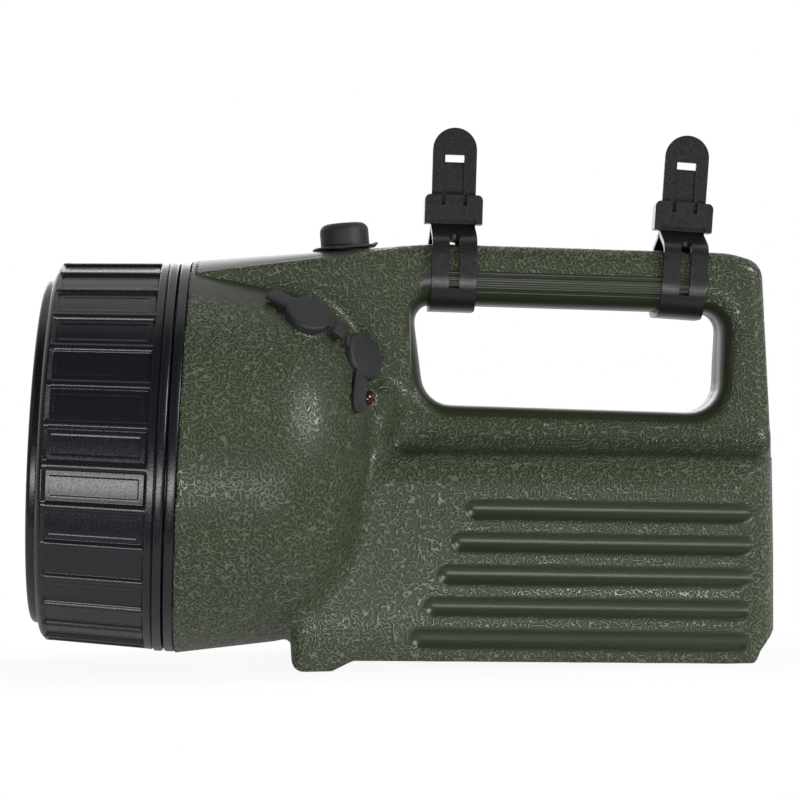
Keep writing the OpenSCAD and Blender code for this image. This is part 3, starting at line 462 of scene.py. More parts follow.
def half_casing(side, step):
    """Surface of one casing half: points in millimetres, triangles, and each point's share of grain.

    The field is sampled on a grid; each cell that it crosses gets a point at the mean of its edge crossings,
    each grid edge that it crosses joins the four cells round it, and the points then slide onto the surface.
    """
    wide = np.array((1.25, 1.0, 0.7)) * step
    xs = np.arange(-76, 125, wide[0])
    ys = -np.arange(67, -wide[1] / 2, -wide[1])
    ys = ys - ys[-1]
    zs = np.arange(-3, 144, wide[2])
    value = casing_field(xs[:, None, None], ys[None, :, None] * -side, zs[None, None, :], side)
    value = np.broadcast_to(value, (len(xs), len(ys), len(zs)))
    inside = value < 0
    corners = [(i, j, k) for i in (0, 1) for j in (0, 1) for k in (0, 1)]
    cut = [slice(i, (i - 1) or None) for i in (0, 1)]
    total = sum(inside[cut[i], cut[j], cut[k]].astype(np.int8) for i, j, k in corners)
    cells = np.argwhere((total > 0) & (total < 8))
    number = np.full(total.shape, -1)
    number[tuple(cells.T)] = np.arange(len(cells))
    near = {c: value[tuple((cells + c).T)] for c in corners}
    place = np.zeros((len(cells), 3))
    hits = np.zeros(len(cells))
    for a in corners:
        for axis in range(3):
            if a[axis]:
                continue
            b = tuple(1 if n == axis else v for n, v in enumerate(a))
            crossed = (near[a] < 0) != (near[b] < 0)
            share = np.where(crossed, near[a] / np.where(crossed, near[a] - near[b], 1), 0)
            spot = np.array(a, float) + share[:, None] * (np.array(b) - np.array(a))
            place += np.where(crossed[:, None], spot, 0)
            hits += crossed
    grid = cells + place / hits[:, None]
    points = np.array((xs[0], ys[0], zs[0])) + grid * wide
    quads = []
    ways = ((1, 1), (0, 1), (0, 0), (1, 0))
    for axis in range(3):
        lower = [slice(None)] * 3
        upper = [slice(None)] * 3
        lower[axis] = slice(0, -1)
        upper[axis] = slice(1, None)
        first = inside[tuple(lower)]
        edges = np.argwhere(first != inside[tuple(upper)])
        others = [n for n in range(3) if n != axis]
        limit = np.array(total.shape)
        good = (edges[:, others] > 0).all(1) & (edges[:, others] < limit[others]).all(1)
        edges = edges[good]
        p, q = np.eye(3, dtype=int)[others]
        around = np.stack([number[tuple((edges - s * p - t * q).T)] for s, t in ways], -1)
        outward = first[tuple(edges.T)] ^ (axis == 1)
        quads.append(np.where(outward[:, None], around, around[:, ::-1]))
    quads = np.concatenate(quads)
    rim = cells[:, 1] == len(ys) - 2
    points[rim, 1] = 0
    for _ in range(4):
        def reach(move):
            p = points + np.asarray(move)
            return casing_field(p[:, 0], p[:, 1] * -side, p[:, 2], side)

        d = reach((0, 0, 0))
        slope = np.column_stack([(reach(e) - reach(-e)) / 0.08 for e in np.eye(3) * 0.04])
        slope[rim, 1] = 0
        push = d / np.maximum((slope ** 2).sum(1), 0.25)
        points = points - np.clip(push, -step, step)[:, None] * slope
    normal = slope / np.maximum(np.linalg.norm(slope, axis=1), 1e-6)[:, None]
    depth = -casing_field(points[:, 0], points[:, 1] * -side, points[:, 2], side, False)
    edge = rim & (depth < 1)
    points[edge] -= 0.3 * normal[edge]
    faces = np.concatenate((quads[:, (0, 1, 2)], quads[:, (0, 2, 3)]))
    x, y, z = points.T
    level = normal[:, 2]
    # Smooth polished strip on the spine's top by the head
    polish_and_shade = smooth(0.7, 0.85, level) * smooth(-10, -24, x)
    # Painted shade: the upward-facing ledge where the handle's lower bar meets the box loses its grain and
    # takes the darker smooth colour
    shaded_ledge = smooth(0.25, 0.55, level) * smooth(-8, 4, x) * smooth(25, 21, np.abs(y))
    polish_and_shade = np.maximum(polish_and_shade, 0.7 * shaded_ledge * (z < 84))
    grain = grain_share(points) * (1 - polish_and_shade)
    loose = (depth > 1.2) & ~rim
    rows, faces = thinned(np.column_stack((points, grain)), faces, loose, 2.7)
    points = rows[:, :3] * (1, -side, 1)
    return points, faces if side < 0 else faces[:, ::-1], rows[:, 3]


def thinned(points, faces, loose, size):
    """Fewer points where loose is true: those in one cell of that size become one, at their mean."""
    name = np.column_stack((np.floor(points[:, :3] / size).astype(int), np.zeros(len(points), int)))
    name[~loose, 3] = 1 + np.arange((~loose).sum())
    _, home, count = np.unique(name, axis=0, return_inverse=True, return_counts=True)
    home = home.ravel()
    kept = np.column_stack([np.bincount(home, column) / count for column in points.T])
    faces = home[faces]
    faces = faces[(faces != np.roll(faces, 1, axis=1)).all(1)]
    _, twin, times = np.unique(np.sort(faces, 1), axis=0, return_inverse=True, return_counts=True)
    return kept, faces[times[twin.ravel()] == 1]


def grain_share(points):
    """Share of leather grain at a point: none in the grooves, on the opening's walls and on the grip."""
    x, y, z = points.T
    grain = smooth(0.25, 0.7, groove_cut(x, y, z))
    hole = outline_distance(HOLE, x, z)
    in_loop = (np.abs(y) < 15.6) & (z > 74)
    grain = np.where(in_loop, grain * smooth(3.2, 4.2, hole), grain)
    down = HANDLE_TOP - (x - OPENING_X) * math.tan(HANDLE_TILT) - z
    grip = smooth(9.0, 9.6, down) * smooth(5, 8, x) * smooth(104, 98, x)
    grain = np.where(in_loop & (z > 100), grain * (1 - grip), grain)
    return grain


def casing_piece(name, side, step, material):
    """Closed half of the casing: a hollow shell, its wall filled where the parting plane cuts it."""
    points, faces, share = half_casing(side, step)
    mesh = mesh_of(name, points, faces)
    grain = mesh.attributes.new("grain", "FLOAT", "POINT")
    grain.data.foreach_set("value", share.astype(np.float32))
    work = bmesh.new()
    work.from_mesh(mesh)
    edge = [e for e in work.edges if e.is_boundary and all(abs(v.co.y) < 1e-6 for v in e.verts)]
    bmesh.ops.triangle_fill(work, edges=edge, use_beauty=True)
    bmesh.ops.recalc_face_normals(work, faces=work.faces)
    work.to_mesh(mesh)
    work.free()
    node = "left_shell" if side < 0 else "right_shell"
    return dress(mesh, "casing", material, (node,), crease=50)


def grip_bars():
    """Five fine bars along each side of the handle: half ellipses standing 0.3 mm proud of its round edge."""
    parts = []
    along = np.linspace(6, 92, 60)[:, None]
    t = np.linspace(0, np.pi, 9)
    fade = np.sqrt(np.clip(1 - (np.abs(along - 49) / 43.2) ** 40, 0, 1))
    out = -0.5 + (0.5 + 0.3 * np.sin(t)) * fade
    slip = 0.55 * np.cos(t)
    for depth in 9.4 + 1.6 * np.arange(5):
        lean = math.asin(max(depth - HANDLE_H + HANDLE_EDGE, 0) / HANDLE_EDGE)
        face = HANDLE_HALF - HANDLE_EDGE * (1 - math.cos(lean))
        y = face + out * math.cos(lean) + slip * math.sin(lean)
        z = -depth - out * math.sin(lean) + slip * math.cos(lean)
        for side in (-1, 1):
            local = np.stack((np.broadcast_to(along, out.shape), side * y, z), -1)
            points = placed(local, (OPENING_X, 0, HANDLE_TOP), HANDLE_AXES)
            parts.append(ring(points, False))
    return merged("grip_bars", parts)


# Bezel, collar and lamp

def bezel_mesh(ribs):
    """Ribbed bezel: a closed profile turned about the head's axis, its barrel lowered between the ribs.

    Between the rounded ribs the radius falls 1.15 mm, and 0.14 mm more inside a frame 2 mm from the border.
    """
    barrel = np.concatenate(([7.3, 7.6, 8.4, 9.2], np.linspace(9.5, 10.3, 7), np.linspace(11.4, 12.4, 6),
                             np.linspace(13, 38.4, 22), np.linspace(39, 40, 6), np.linspace(41.1, 42, 7)))
    flange = ((59.1, 3.7), (63.6, 3.7), (64.3, 3.9), (64.6, 4.4), (64.6, 6.2), (64.45, 6.55), (64.0, 6.7),
              (63.7, 6.9), (63.8, 7.15))
    sloped = np.column_stack((64.15 - (barrel - 7.1) * 1.7 / 36.5, barrel))
    front = rounded(((62.55, 42.05, 0), (62.4, 44.0, 3.6), (57.8, 44.0, 0)), 10, False)[1:]
    lip = rounded(((57.3, 44.0, 0), (57.0, 44.3, 0.25), (57.0, 47.2, 1.6), (53, 47.2, 0)), 8, False)
    inside = ((52.6, 47.0), (52.2, 46.6), (52, 46), (52, 45.0), (55, 45.0), (55, 36.3), (59.1, 36.3))
    outside = np.concatenate((flange, sloped, front, lip, inside))
    beside = np.array((0.035, 0.07, 0.1, 0.115, 0.13, 0.145, 0.165, 0.21, 0.238, 0.255, 0.272, 0.29, 0.32,
                       0.38, 0.45))
    share = np.concatenate((-beside[::-1], (0,), beside, (0.5,)))
    turn = (np.arange(ribs)[:, None] + share).ravel() * 2 * np.pi / ribs + math.radians(3)
    off = np.tile(np.abs(share), ribs)
    r = np.broadcast_to(outside[:, :1], (len(outside), len(turn))).copy()
    a = outside[:, 1:]
    within = (r > 60) & (a > 7.2) & (a < 42.2)
    wall = smooth(0.08, 0.125, off) * smooth(9.5, 10.2, a) * smooth(42, 41.2, a)
    inset = smooth(0.245, 0.27, off) * smooth(11.5, 12.1, a) * smooth(39.9, 39.3, a)
    rib = 0.4 * np.clip(off / 0.1, 0, 1) ** 2 * smooth(9.3, 9.9, a) * smooth(42, 41.4, a)
    r = np.where(within, r - 0.75 * wall - 0.14 * inset - rib, r)
    points = np.stack((r * np.cos(turn), r * np.sin(turn), np.broadcast_to(a, r.shape)), -1)
    return merged("bezel_ring_ribbed", [ring(placed(points, HEAD, HEAD_AXES))])


def head_turned(name, profile, turns=192, closed=True):
    """Profile (r, forward) turned about the head's axis."""
    return merged(name, [ring(placed(revolve(np.asarray(profile, float), turns), HEAD, HEAD_AXES), closed)])


def collar_mesh():
    """Collar: flange against the casing's mouth with rounded edges, and the sleeve behind the bezel."""
    flange = ((56, -8), (58.8, -8), (58.8, 0.02), (63.9, 0.02), (64.4, 0.15), (64.6, 0.5), (64.6, 2.7),
              (64.4, 3.1), (63.9, 3.3))
    sleeve = ((58.8, 3.3), (58.8, SLEEVE_FRONT), (SLEEVE_R, SLEEVE_FRONT), (SLEEVE_R, 34.4), (55.4, 32),
              (55.4, 3.3), (56, 2.5))
    return head_turned("collar_black", flange + sleeve)


def lens_mesh():
    """Clear lens: a disc 3 mm thick whose edges are rounded by 0.4 mm."""
    corners = ((50, LENS_FRONT, 0), (LENS_R, LENS_FRONT, 0.4), (LENS_R, LENS_BACK, 0.4), (50, LENS_BACK, 0))
    rim = rounded(corners, 5, False)
    front = [(r, LENS_FRONT) for r in (0, 20, 40)]
    back = [(r, LENS_BACK) for r in (40, 20, 0)]
    return head_turned("lens_clear", np.concatenate((front, rim, back)), closed=False)


def reflector_mesh():
    """Reflector: the parabola r = sqrt(4 f h) with a wall of 1.4 mm, a rim on the sleeve and a neck."""
    low = MIRROR_NECK_R ** 2 / (4 * FOCAL) - MIRROR_BACK
    level = low + (SLEEVE_FRONT - low) * np.linspace(0, 1, 40) ** 1.5
    r = np.sqrt(4 * FOCAL * (level + MIRROR_BACK))
    drop = np.where(np.arange(40) > 0, MIRROR_WALL * 0.6, 0)
    neck = ((MIRROR_NECK_R, low - 12), (MIRROR_NECK_R, low - 4))
    rim = ((r[-1], 39.9), (r[-1] + 0.5, 40.4), (LENS_R, 40.4), (LENS_R, SLEEVE_FRONT), (52.5, SLEEVE_FRONT))
    front = np.column_stack((r, level))
    back = np.column_stack((r + MIRROR_WALL, level - drop))[::-1]
    end = ((MIRROR_NECK_R + MIRROR_WALL, low - 12),)
    return head_turned("reflector_mirror", np.concatenate((neck, front, rim, back, end)))


def bulb_meshes():
    """Bulb: a glass envelope, a sphere on a short neck, and a filament helix on two posts at the focus."""
    middle = FOCAL - MIRROR_BACK
    base = middle - 9.6
    angle = np.radians(np.linspace(-50, 90, 24))
    globe = np.column_stack((5.6 * np.cos(angle), middle + 5.6 * np.sin(angle)))
    profile = np.concatenate((((0, base), (3.6, base), (4.0, base + 0.4)), globe))
    glass = head_turned("bulb_envelope", profile, 64, False)
    t = np.linspace(0, 1, 241)
    coil = np.column_stack((0.5 * np.cos(t * 44), -2.2 + 4.4 * t, 0.5 * np.sin(t * 44)))
    parts = [tube(coil + (0, 0, middle), 0.14, 8)]
    for side in (-1, 1):
        post = np.array(((0, 2.2, -9.0), (0, 2.2, -4.5), (0, 2.25, -1), (0.3, 2.2, 0))) * (1, side, 1)
        parts.append(tube(post + (0, 0, middle), 0.22, 8))
    wire = merged("bulb_filament", [(placed(p, HEAD, HEAD_AXES), f) for p, f in parts])
    return glass, wire


def tube(path, r, sides):
    """Round tube along a path: circles of radius r across its direction at each of its points, ends shut."""
    way = np.gradient(path, axis=0)
    way /= np.linalg.norm(way, axis=1)[:, None]
    first = np.cross(way, (0.3, 0.2, 0.93))
    first /= np.linalg.norm(first, axis=1)[:, None]
    second = np.cross(way, first)
    t = np.linspace(0, 2 * np.pi, sides, endpoint=False)[:, None]
    circle = path[:, None] + r * (np.cos(t) * first[:, None] + np.sin(t) * second[:, None])
    start = np.repeat(path[:1, None], sides, 1)
    stop = np.repeat(path[-1:, None], sides, 1)
    return ring(np.concatenate((start, circle, stop)), False)


# Button, caps and small lamp

def button_mesh():
    """Rubber button: a hollow cup with a rounded shoulder and a top that dips 0.15 mm."""
    outside = rounded(((8.1, -4, 0), (8.1, 8.6, 2.8), (0, 8.45, 0)), 12, False)
    profile = np.concatenate((((0, 6.6), (6.1, 6.6), (6.1, -4)), outside))
    return merged("button_rubber", [ring(placed(revolve(profile, 72), BUTTON, BUTTON_AXES), False)])


def boot_mesh():
    """Boot's thin flange: a soft ring whose rim thins out, and whose rear edge curls up a little."""
    rim = rounded(((10.9, 0.0, 0), (11.0, 0.4, 0.15), (10.3, 0.85, 0.4), (BUTTON_BORE, 0.95, 0)), 4, False)
    points = revolve(np.concatenate((((BUTTON_BORE, 0.0), (10.7, 0.0)), rim)))
    x = points[..., 0]
    points[..., 2] += 0.9 * smooth(8.6, 11, x) * smooth(6, 1, np.abs(points[..., 1]))
    return merged("boot_rubber", [ring(placed(points, BUTTON, BUTTON_AXES))])


def tab(start, end, lift, half, thick, steps, tip=None):
    """Flat tongue from start to end: its far end rounded over its tip, its faces eased off at the edge."""
    s = np.linspace(0, 1, steps)[:, None]
    v = np.linspace(-1, 1, 9)[None, :]
    long = np.linalg.norm(end - start)
    way = (end - start) / long
    lift = lift - way * (lift @ way)
    lift = lift / np.linalg.norm(lift)
    side = np.cross(lift, way)
    left = np.clip((1 - s) * long / (tip or half), 0, 1)
    width = half * np.sqrt(np.clip(1 - (1 - left) ** 2, 0.02, 1))
    middle = start + s[..., None] * (end - start) + (v * width)[..., None] * side
    ease = thick / 2 * (1 - 0.5 * np.abs(v) ** 4) * (1 - 0.5 * (1 - left) ** 3)
    keep = np.ones((steps - 1, 8), bool)
    return slab(middle + ease[..., None] * lift, middle - ease[..., None] * lift, keep)


def cap_mesh(name, at, axis, toward, r, tongue, lift, half, tip):
    """Rubber cap: a crowned cup over its boss, shallower at the hinge, with a plug, a flap and a tongue."""
    axes = axes_toward(axis, toward)
    skirt = rounded(((r * 0.7, 2.22, 0), (r - 0.25, 2.1, 0.9), (r, -1.3, 0.3), (r - 0.7, -1.3, 0.2),
                     (r - 0.7, 0.12, 0), (3, 0.12, 0)), 5, False)
    plug = rounded(((3, 0.1, 0), (3, -2.6, 0.5), (0, -2.6, 0)), 4, False)
    profile = np.concatenate((((0, 2.35), (r * 0.5, 2.3)), skirt, plug))
    points = revolve(profile, 64)
    fade = smooth(0.25, 0.75, points[..., 0] / r) * (profile[:, :1] > 3.5)
    low = np.minimum(points[..., 2], 0.12)
    points[..., 2] = np.where(points[..., 2] < 0.12, low + (0.12 - low) * fade, points[..., 2])
    parts = [ring(placed(points, at, axes), False)]
    # Flap at the hinge, then the thin neck that runs on to the link
    for start, end, high, thick, blunt in ((r - 2, r + 0.3, 0.95, 1.5, None),
                                           (r - 1, r + 1.2, 1.1, 0.8, 0.4)):
        near, far = placed(np.array(((start, 0, high), (end, 0, high))), at, axes)
        parts.append(tab(near, far, axis, 2.6, thick, 6, blunt))
    root = placed(np.array((r - 2.5, 0, 1.0)), at, axes_toward(axis, tongue - at))
    parts.append(tab(root, tongue, lift, half, 1.4, 20, tip))
    return merged(name, parts)


def link_mesh():
    """Strip between the two caps, notched thin at their hinges, and the peg that holds it to the casing."""
    way = AUX_HINGE - CHARGE_HINGE
    span = np.linalg.norm(way)
    middle = (CHARGE_HINGE + AUX_HINGE) / 2
    axes = axes_toward(LINK_AXIS, way)
    x = np.linspace(-span / 2 + 0.08, span / 2 - 0.6, 21)
    body = smooth(span / 2 - 0.05, span / 2 - 1.1, np.abs(x + 0.3) + 0.2)[:, None]
    v = np.linspace(-1, 1, 9)[None, :]
    wide = 3.0 * v * np.ones_like(body)
    top = -0.1 + 0.6 * body - 0.15 * np.abs(v) ** 6
    low = -0.5 - 0.6 * body + 0.15 * np.abs(v) ** 6
    along = np.broadcast_to(x[:, None], wide.shape)
    plate = slab(placed(np.stack((along, wide, top), -1), middle, axes),
                 placed(np.stack((along, wide, low), -1), middle, axes), np.ones((20, 8), bool))
    peg = revolve(np.array(((0, -0.6), (1.45, -0.6), (1.45, -11.5), (1.0, -12), (0, -12))), 24)
    return merged("cap_strip", [plate, ring(placed(peg, middle, axes), False)])


def lamp_meshes():
    """Small lamp: a clear red dome on its body, and a dark ring round it that sits on the casing."""
    axes = axes_toward(LAMP_AXIS, np.array((0, 0, 1.0)))
    angle = np.radians(np.linspace(0, 90, 14))
    dome = np.concatenate((((0, -7), (2, -7)), np.column_stack((2 * np.cos(angle), 1.7 * np.sin(angle)))))
    lens = merged("lamp_dome", [ring(placed(revolve(dome, 48), LAMP_AT, axes), False)])
    t = np.linspace(0, 2 * np.pi, 14, endpoint=False)
    rim = np.column_stack((2.45 + 0.4 * np.cos(t), 0.05 + 0.35 * np.sin(t)))
    return lens, merged("lamp_ring", [ring(placed(revolve(rim, 48), LAMP_AT, axes))])


# Straps and screws

def strap_frame(along, lean):
    """Origin and axes of a strap: on the handle's top, leaning about the handle's middle."""
    axes = tilted(HANDLE_TILT + lean)
    middle = placed(np.array((along, 0, -HANDLE_H / 2)), (OPENING_X, 0, HANDLE_TOP), HANDLE_AXES)
    return middle + HANDLE_H / 2 * axes[2], axes


def strap_mesh(name, along, lean):
    """Ladder strap: a flat band carried along its loop, with two slots, a channel and a round tip.

    The path leaves the tip of the tail, goes round the handle and ends behind the tail inside the buckle.
    """
    corners = ((0, 39.4, 0), (0, 6.2, 3), (-STRAP_Y, 0.7, 6), (-STRAP_Y, -21.1, 10), (STRAP_Y, -21.1, 10),
               (STRAP_Y, 0.7, 6), (1.9, 6.2, 3), (1.9, 15.5, 0))
    line = rounded(corners, 10, False)
    run = np.concatenate(([0], np.cumsum(np.linalg.norm(np.diff(line, axis=0), axis=1))))
    quarter = np.pi / 2
    tip = STRAP_HALF * (1 - np.cos(np.linspace(0, quarter, 12)))
    stops = np.array((9.05, 9.3, 11.55, 11.8, 22.4))
    fine = np.linspace(0, run[-1], 4000)
    spots = np.column_stack((np.interp(fine, run, line[:, 0]), np.interp(fine, run, line[:, 1])))
    spans = []
    for side in (-1, 1):
        foot = fine[np.argmin(np.abs(spots - np.array((side * STRAP_Y, -14.5))).sum(1))]
        head = fine[np.argmin(np.abs(spots - np.array((side * 11.2, 2.4))).sum(1))]
        spans.append((head, foot))
    round_end = SLOT_HALF * (1 - np.cos(np.linspace(0, quarter, 6)))
    slot_rows = np.concatenate([(*(head + np.sign(foot - head) * round_end), foot) for head, foot in spans])
    rows = np.concatenate((tip, stops, slot_rows, run, np.arange(8, run[-1], 1.6)))
    rows = np.unique(np.round(rows, 3))
    y = np.interp(rows, run, line[:, 0])
    z = np.interp(rows, run, line[:, 1])
    way = np.column_stack((np.gradient(y, rows), np.gradient(z, rows)))
    way /= np.linalg.norm(way, axis=1)[:, None]
    out = np.column_stack((way[:, 1], -way[:, 0]))
    beside = np.array((SLOT_HALF, 2.95, 3.15, 5, 7.0, STRAP_HALF))
    cols = np.concatenate((-beside[::-1], (0,), beside))
    curve = np.sqrt(np.clip(STRAP_HALF ** 2 - (STRAP_HALF - rows) ** 2, 0.05, None))
    half = np.where(rows < STRAP_HALF, curve, STRAP_HALF)
    x = cols[None, :] * (half / STRAP_HALF)[:, None]
    mid_row = (rows[:-1] + rows[1:])[:, None] / 2
    mid_col = (cols[:-1] + cols[1:])[None, :] / 2
    keep = ~((np.abs(mid_row - 10.3) < 1.25) & (np.abs(mid_col) < 3.15))
    inner = np.abs(np.abs(cols) - SLOT_HALF) < 0.01
    for head, foot in spans:
        rise = np.clip((rows - head) * np.sign(foot - head) / SLOT_HALF, 0, 1)
        arc = np.sqrt(np.clip(1 - (1 - rise) ** 2, 0.01, 1))
        x[:, inner] *= np.where((rows - head) * (rows - foot) <= 0, arc, 1.0)[:, None]
        keep &= ~(((mid_row - head) * (mid_row - foot) < 0) & (np.abs(mid_col) < SLOT_HALF))
    channel = 0.45 * ((rows > 11.6) & (rows < 22.5))[:, None] * (np.abs(cols) < 3)[None, :]
    sign = 1 if out[0, 0] < 0 else -1
    at, axes = strap_frame(along, lean)

    def face(offset):
        offset = np.broadcast_to(offset, x.shape)
        local = np.stack((x, y[:, None] + out[:, :1] * offset, z[:, None] + out[:, 1:] * offset), -1)
        return placed(local, at, axes)

    half_thick = STRAP_THICK / 2
    return merged(name, [slab(face(sign * (half_thick - channel)), face(-sign * half_thick), keep)])


def screw_mesh():
    """Six casing screws: pan heads with a cross recess, a dip where a bar crosses the head, and shanks."""
    flat = np.column_stack((np.linspace(0, 2.2, 12), np.full(12, 2.2)))
    edge = rounded(((2.4, 2.2, 0), (2.9, 2.1, 0.5), (2.9, 0, 0.1), (1.5, 0, 0)), 4, False)
    head = revolve(np.concatenate((flat, edge)), 64)
    bar = np.minimum(np.abs(head[..., 0]), np.abs(head[..., 1]))
    reach = np.hypot(head[..., 0], head[..., 1])
    head[..., 2] -= 1.1 * smooth(0.55, 0.35, bar) * smooth(1.9, 1.6, reach)
    shank = revolve(np.array(((1.5, 0.05), (1.5, -14), (1.0, -15), (0, -15))), 24)
    axes = np.array(((1, 0, 0), (0, 0, -1), (0, 1, 0)), float)
    parts = [ring(placed(part, (x, SCREW_Y, z), axes), False) for x, z in SCREWS for part in (head, shank)]
    return merged("casing_screws", parts)


# Materials

def linear(text):
    """Linear colour of an sRGB hex value."""
    parts = [int(text[i:i + 2], 16) / 255 for i in (1, 3, 5)]
    return tuple(v / 12.92 if v <= 0.04045 else ((v + 0.055) / 1.055) ** 2.4 for v in parts) + (1.0,)


def add(tree, kind, inputs=(), **settings):
    """Adds a node: its settings by name, and its inputs as values or as another node's output."""
    made = tree.nodes.new(kind)
    for name, value in settings.items():
        setattr(made, name, value)
    for socket, value in dict(inputs).items():
        if isinstance(value, bpy.types.NodeSocket):
            tree.links.new(value, made.inputs[socket])
        else:
            made.inputs[socket].default_value = value
    return made


def surface(name, constants):
    """New material with its shader's constant sockets set, and its object coordinates."""
    material = bpy.data.materials.new(name)
    material.use_nodes = True
    tree = material.node_tree
    shader = tree.nodes["Principled BSDF"]
    for socket, value in constants.items():
        shader.inputs[socket].default_value = value
    place = add(tree, "ShaderNodeTexCoord").outputs["Object"]
    return material, tree, shader, place


def calc(tree, operation, *values):
    """Output of a math node."""
    return add(tree, "ShaderNodeMath", enumerate(values), operation=operation).outputs[0]


def ramp(tree, value, low, high, first, last, kind="LINEAR"):
    """Output that goes from first to last while a value goes from low to high."""
    inputs = enumerate((value, low, high, first, last))
    return add(tree, "ShaderNodeMapRange", inputs, interpolation_type=kind).outputs[0]


def blend(tree, share, first, second):
    """Colour between two colours."""
    return add(tree, "ShaderNodeMix", {0: share, 6: first, 7: second}, data_type="RGBA").outputs[2]


def noise(tree, place, size, detail, **more):
    """Output of a noise whose spots are about so many millimetres wide."""
    inputs = {"Vector": place, "Scale": 1 / MM / size, "Detail": detail, **more}
    return add(tree, "ShaderNodeTexNoise", inputs).outputs[0]


def link(tree, shader, height, strength, depth, outputs):
    """Links outputs to a shader's sockets, and a height as a relief of so many millimetres."""
    relief = add(tree, "ShaderNodeBump", {"Strength": strength, "Distance": depth * MM, "Height": height})
    for socket, output in {**outputs, "Normal": relief.outputs[0]}.items():
        tree.links.new(output, shader.inputs[socket])


def level_lines(tree, place, size):
    """Millimetres to the nearest middle level of a noise: its step from that level over its slope.

    The slope comes from three more samples, each 0.1 mm along one axis.
    """
    middle = noise(tree, place, size, 0.0)
    slope = add(tree, "ShaderNodeCombineXYZ")
    for i, offset in enumerate(np.eye(3) * 0.1 * MM):
        near = add(tree, "ShaderNodeVectorMath", {0: place, 1: tuple(offset)}, operation="ADD")
        rise = calc(tree, "SUBTRACT", noise(tree, near.outputs[0], size, 0.0), middle)
        tree.links.new(rise, slope.inputs[i])
    steep = add(tree, "ShaderNodeVectorMath", {0: slope.outputs[0]}, operation="LENGTH").outputs["Value"]
    step = calc(tree, "ABSOLUTE", calc(tree, "SUBTRACT", middle, 0.5))
    return calc(tree, "DIVIDE", step, calc(tree, "MULTIPLY_ADD", steep, 10.0, 0.05))


def leather_abs(colours):
    """ABS from a leather-etched tool: short strokes on a dark green ground, smooth where polished and on a
    ledge of painted shade; the strokes' lighter colour is painted highlight, and the grained ground is
    lighter than the smooth parts as painted sheen.
    """
    material, tree, shader, place = surface("abs_leather_grain", {"IOR": 1.52})
    grain = add(tree, "ShaderNodeAttribute", attribute_name="grain").outputs["Fac"]
    top = ramp(tree, level_lines(tree, place, 1.4), 0.06, 0.3, 1.0, 0.0, "SMOOTHSTEP")
    raised = calc(tree, "MULTIPLY", top, grain)
    # Random tone of the etched ground, and a lift towards the lighter green on grained parts as painted
    # sheen; smooth parts stay at the dark colour
    grain_tone_and_sheen = calc(tree, "MULTIPLY_ADD", noise(tree, place, 28, 2.0), 0.4, 0.5)
    grain_tone_and_sheen = calc(tree, "MULTIPLY", grain_tone_and_sheen, grain)
    ground = blend(tree, grain_tone_and_sheen, (*colours.casing_dark, 1), (*colours.casing, 1))
    # Painted highlight: the raised strokes are blended towards the lighter stroke colour, in place of the
    # glints of light on them
    lit = ramp(tree, raised, 0.0, 1.0, 0.0, 0.32)
    hollow = calc(tree, "SUBTRACT", grain, raised)
    swing = calc(tree, "SUBTRACT", raised, hollow)
    link(tree, shader, raised, 1.0, 0.5, {
        "Base Color": blend(tree, lit, ground, (*colours.casing_stroke_highlight, 1)),
        "Roughness": ramp(tree, swing, -1.0, 1.0, 0.42, 0.28),
        "Specular IOR Level": ramp(tree, swing, -1.0, 1.0, 0.3, 0.75)})
    return material


def moulded(name, colour, rough, grit, depth, constants=(), spread=0.06, patch=12.0):
    """Moulded plastic or rubber: a fine spark-eroded grit softens the shine, and the tone changes faintly."""
    material, tree, shader, place = surface(name, dict(constants))
    darker = tuple(v * (1 - 2.5 * spread) for v in colour[:3]) + (1,)
    lighter = tuple(v * (1 + 2.5 * spread) for v in colour[:3]) + (1,)
    grain = noise(tree, place, grit, 2.0)
    link(tree, shader, grain, 0.6, depth, {
        "Base Color": blend(tree, noise(tree, place, patch, 3.0), darker, lighter),
        "Roughness": ramp(tree, grain, 0.3, 0.7, rough - 0.06, rough + 0.08)})
    return material


def sheen_metal(name, colour, rough, line, depth):
    """Metal with fine marks from its making: long scratches that widen its highlights."""
    material, tree, shader, place = surface(name, {"Metallic": 1.0})
    scratch = noise(tree, place, line, 3.0, Distortion=0.8)
    darker = tuple(v * 0.85 for v in colour[:3]) + (1,)
    link(tree, shader, scratch, 0.3, depth, {
        "Base Color": blend(tree, scratch, darker, colour),
        "Roughness": ramp(tree, scratch, 0.3, 0.7, rough, rough + 0.12)})
    return material


def clear(name, colour, ior, rough):
    """Clear moulded or blown piece: light passes, with a trace of flow marks in the surface."""
    constants = {"IOR": ior, "Transmission Weight": 1.0, "Base Color": colour}
    material, tree, shader, place = surface(name, constants)
    flow = noise(tree, place, 30, 1.0)
    link(tree, shader, flow, 0.05, 0.2, {"Roughness": ramp(tree, flow, 0.3, 0.7, rough, rough + 0.03)})
    return material


def empty_tree(owner):
    """Cleared node tree of a material or a world."""
    owner.use_nodes = True
    owner.node_tree.nodes.clear()
    return owner.node_tree


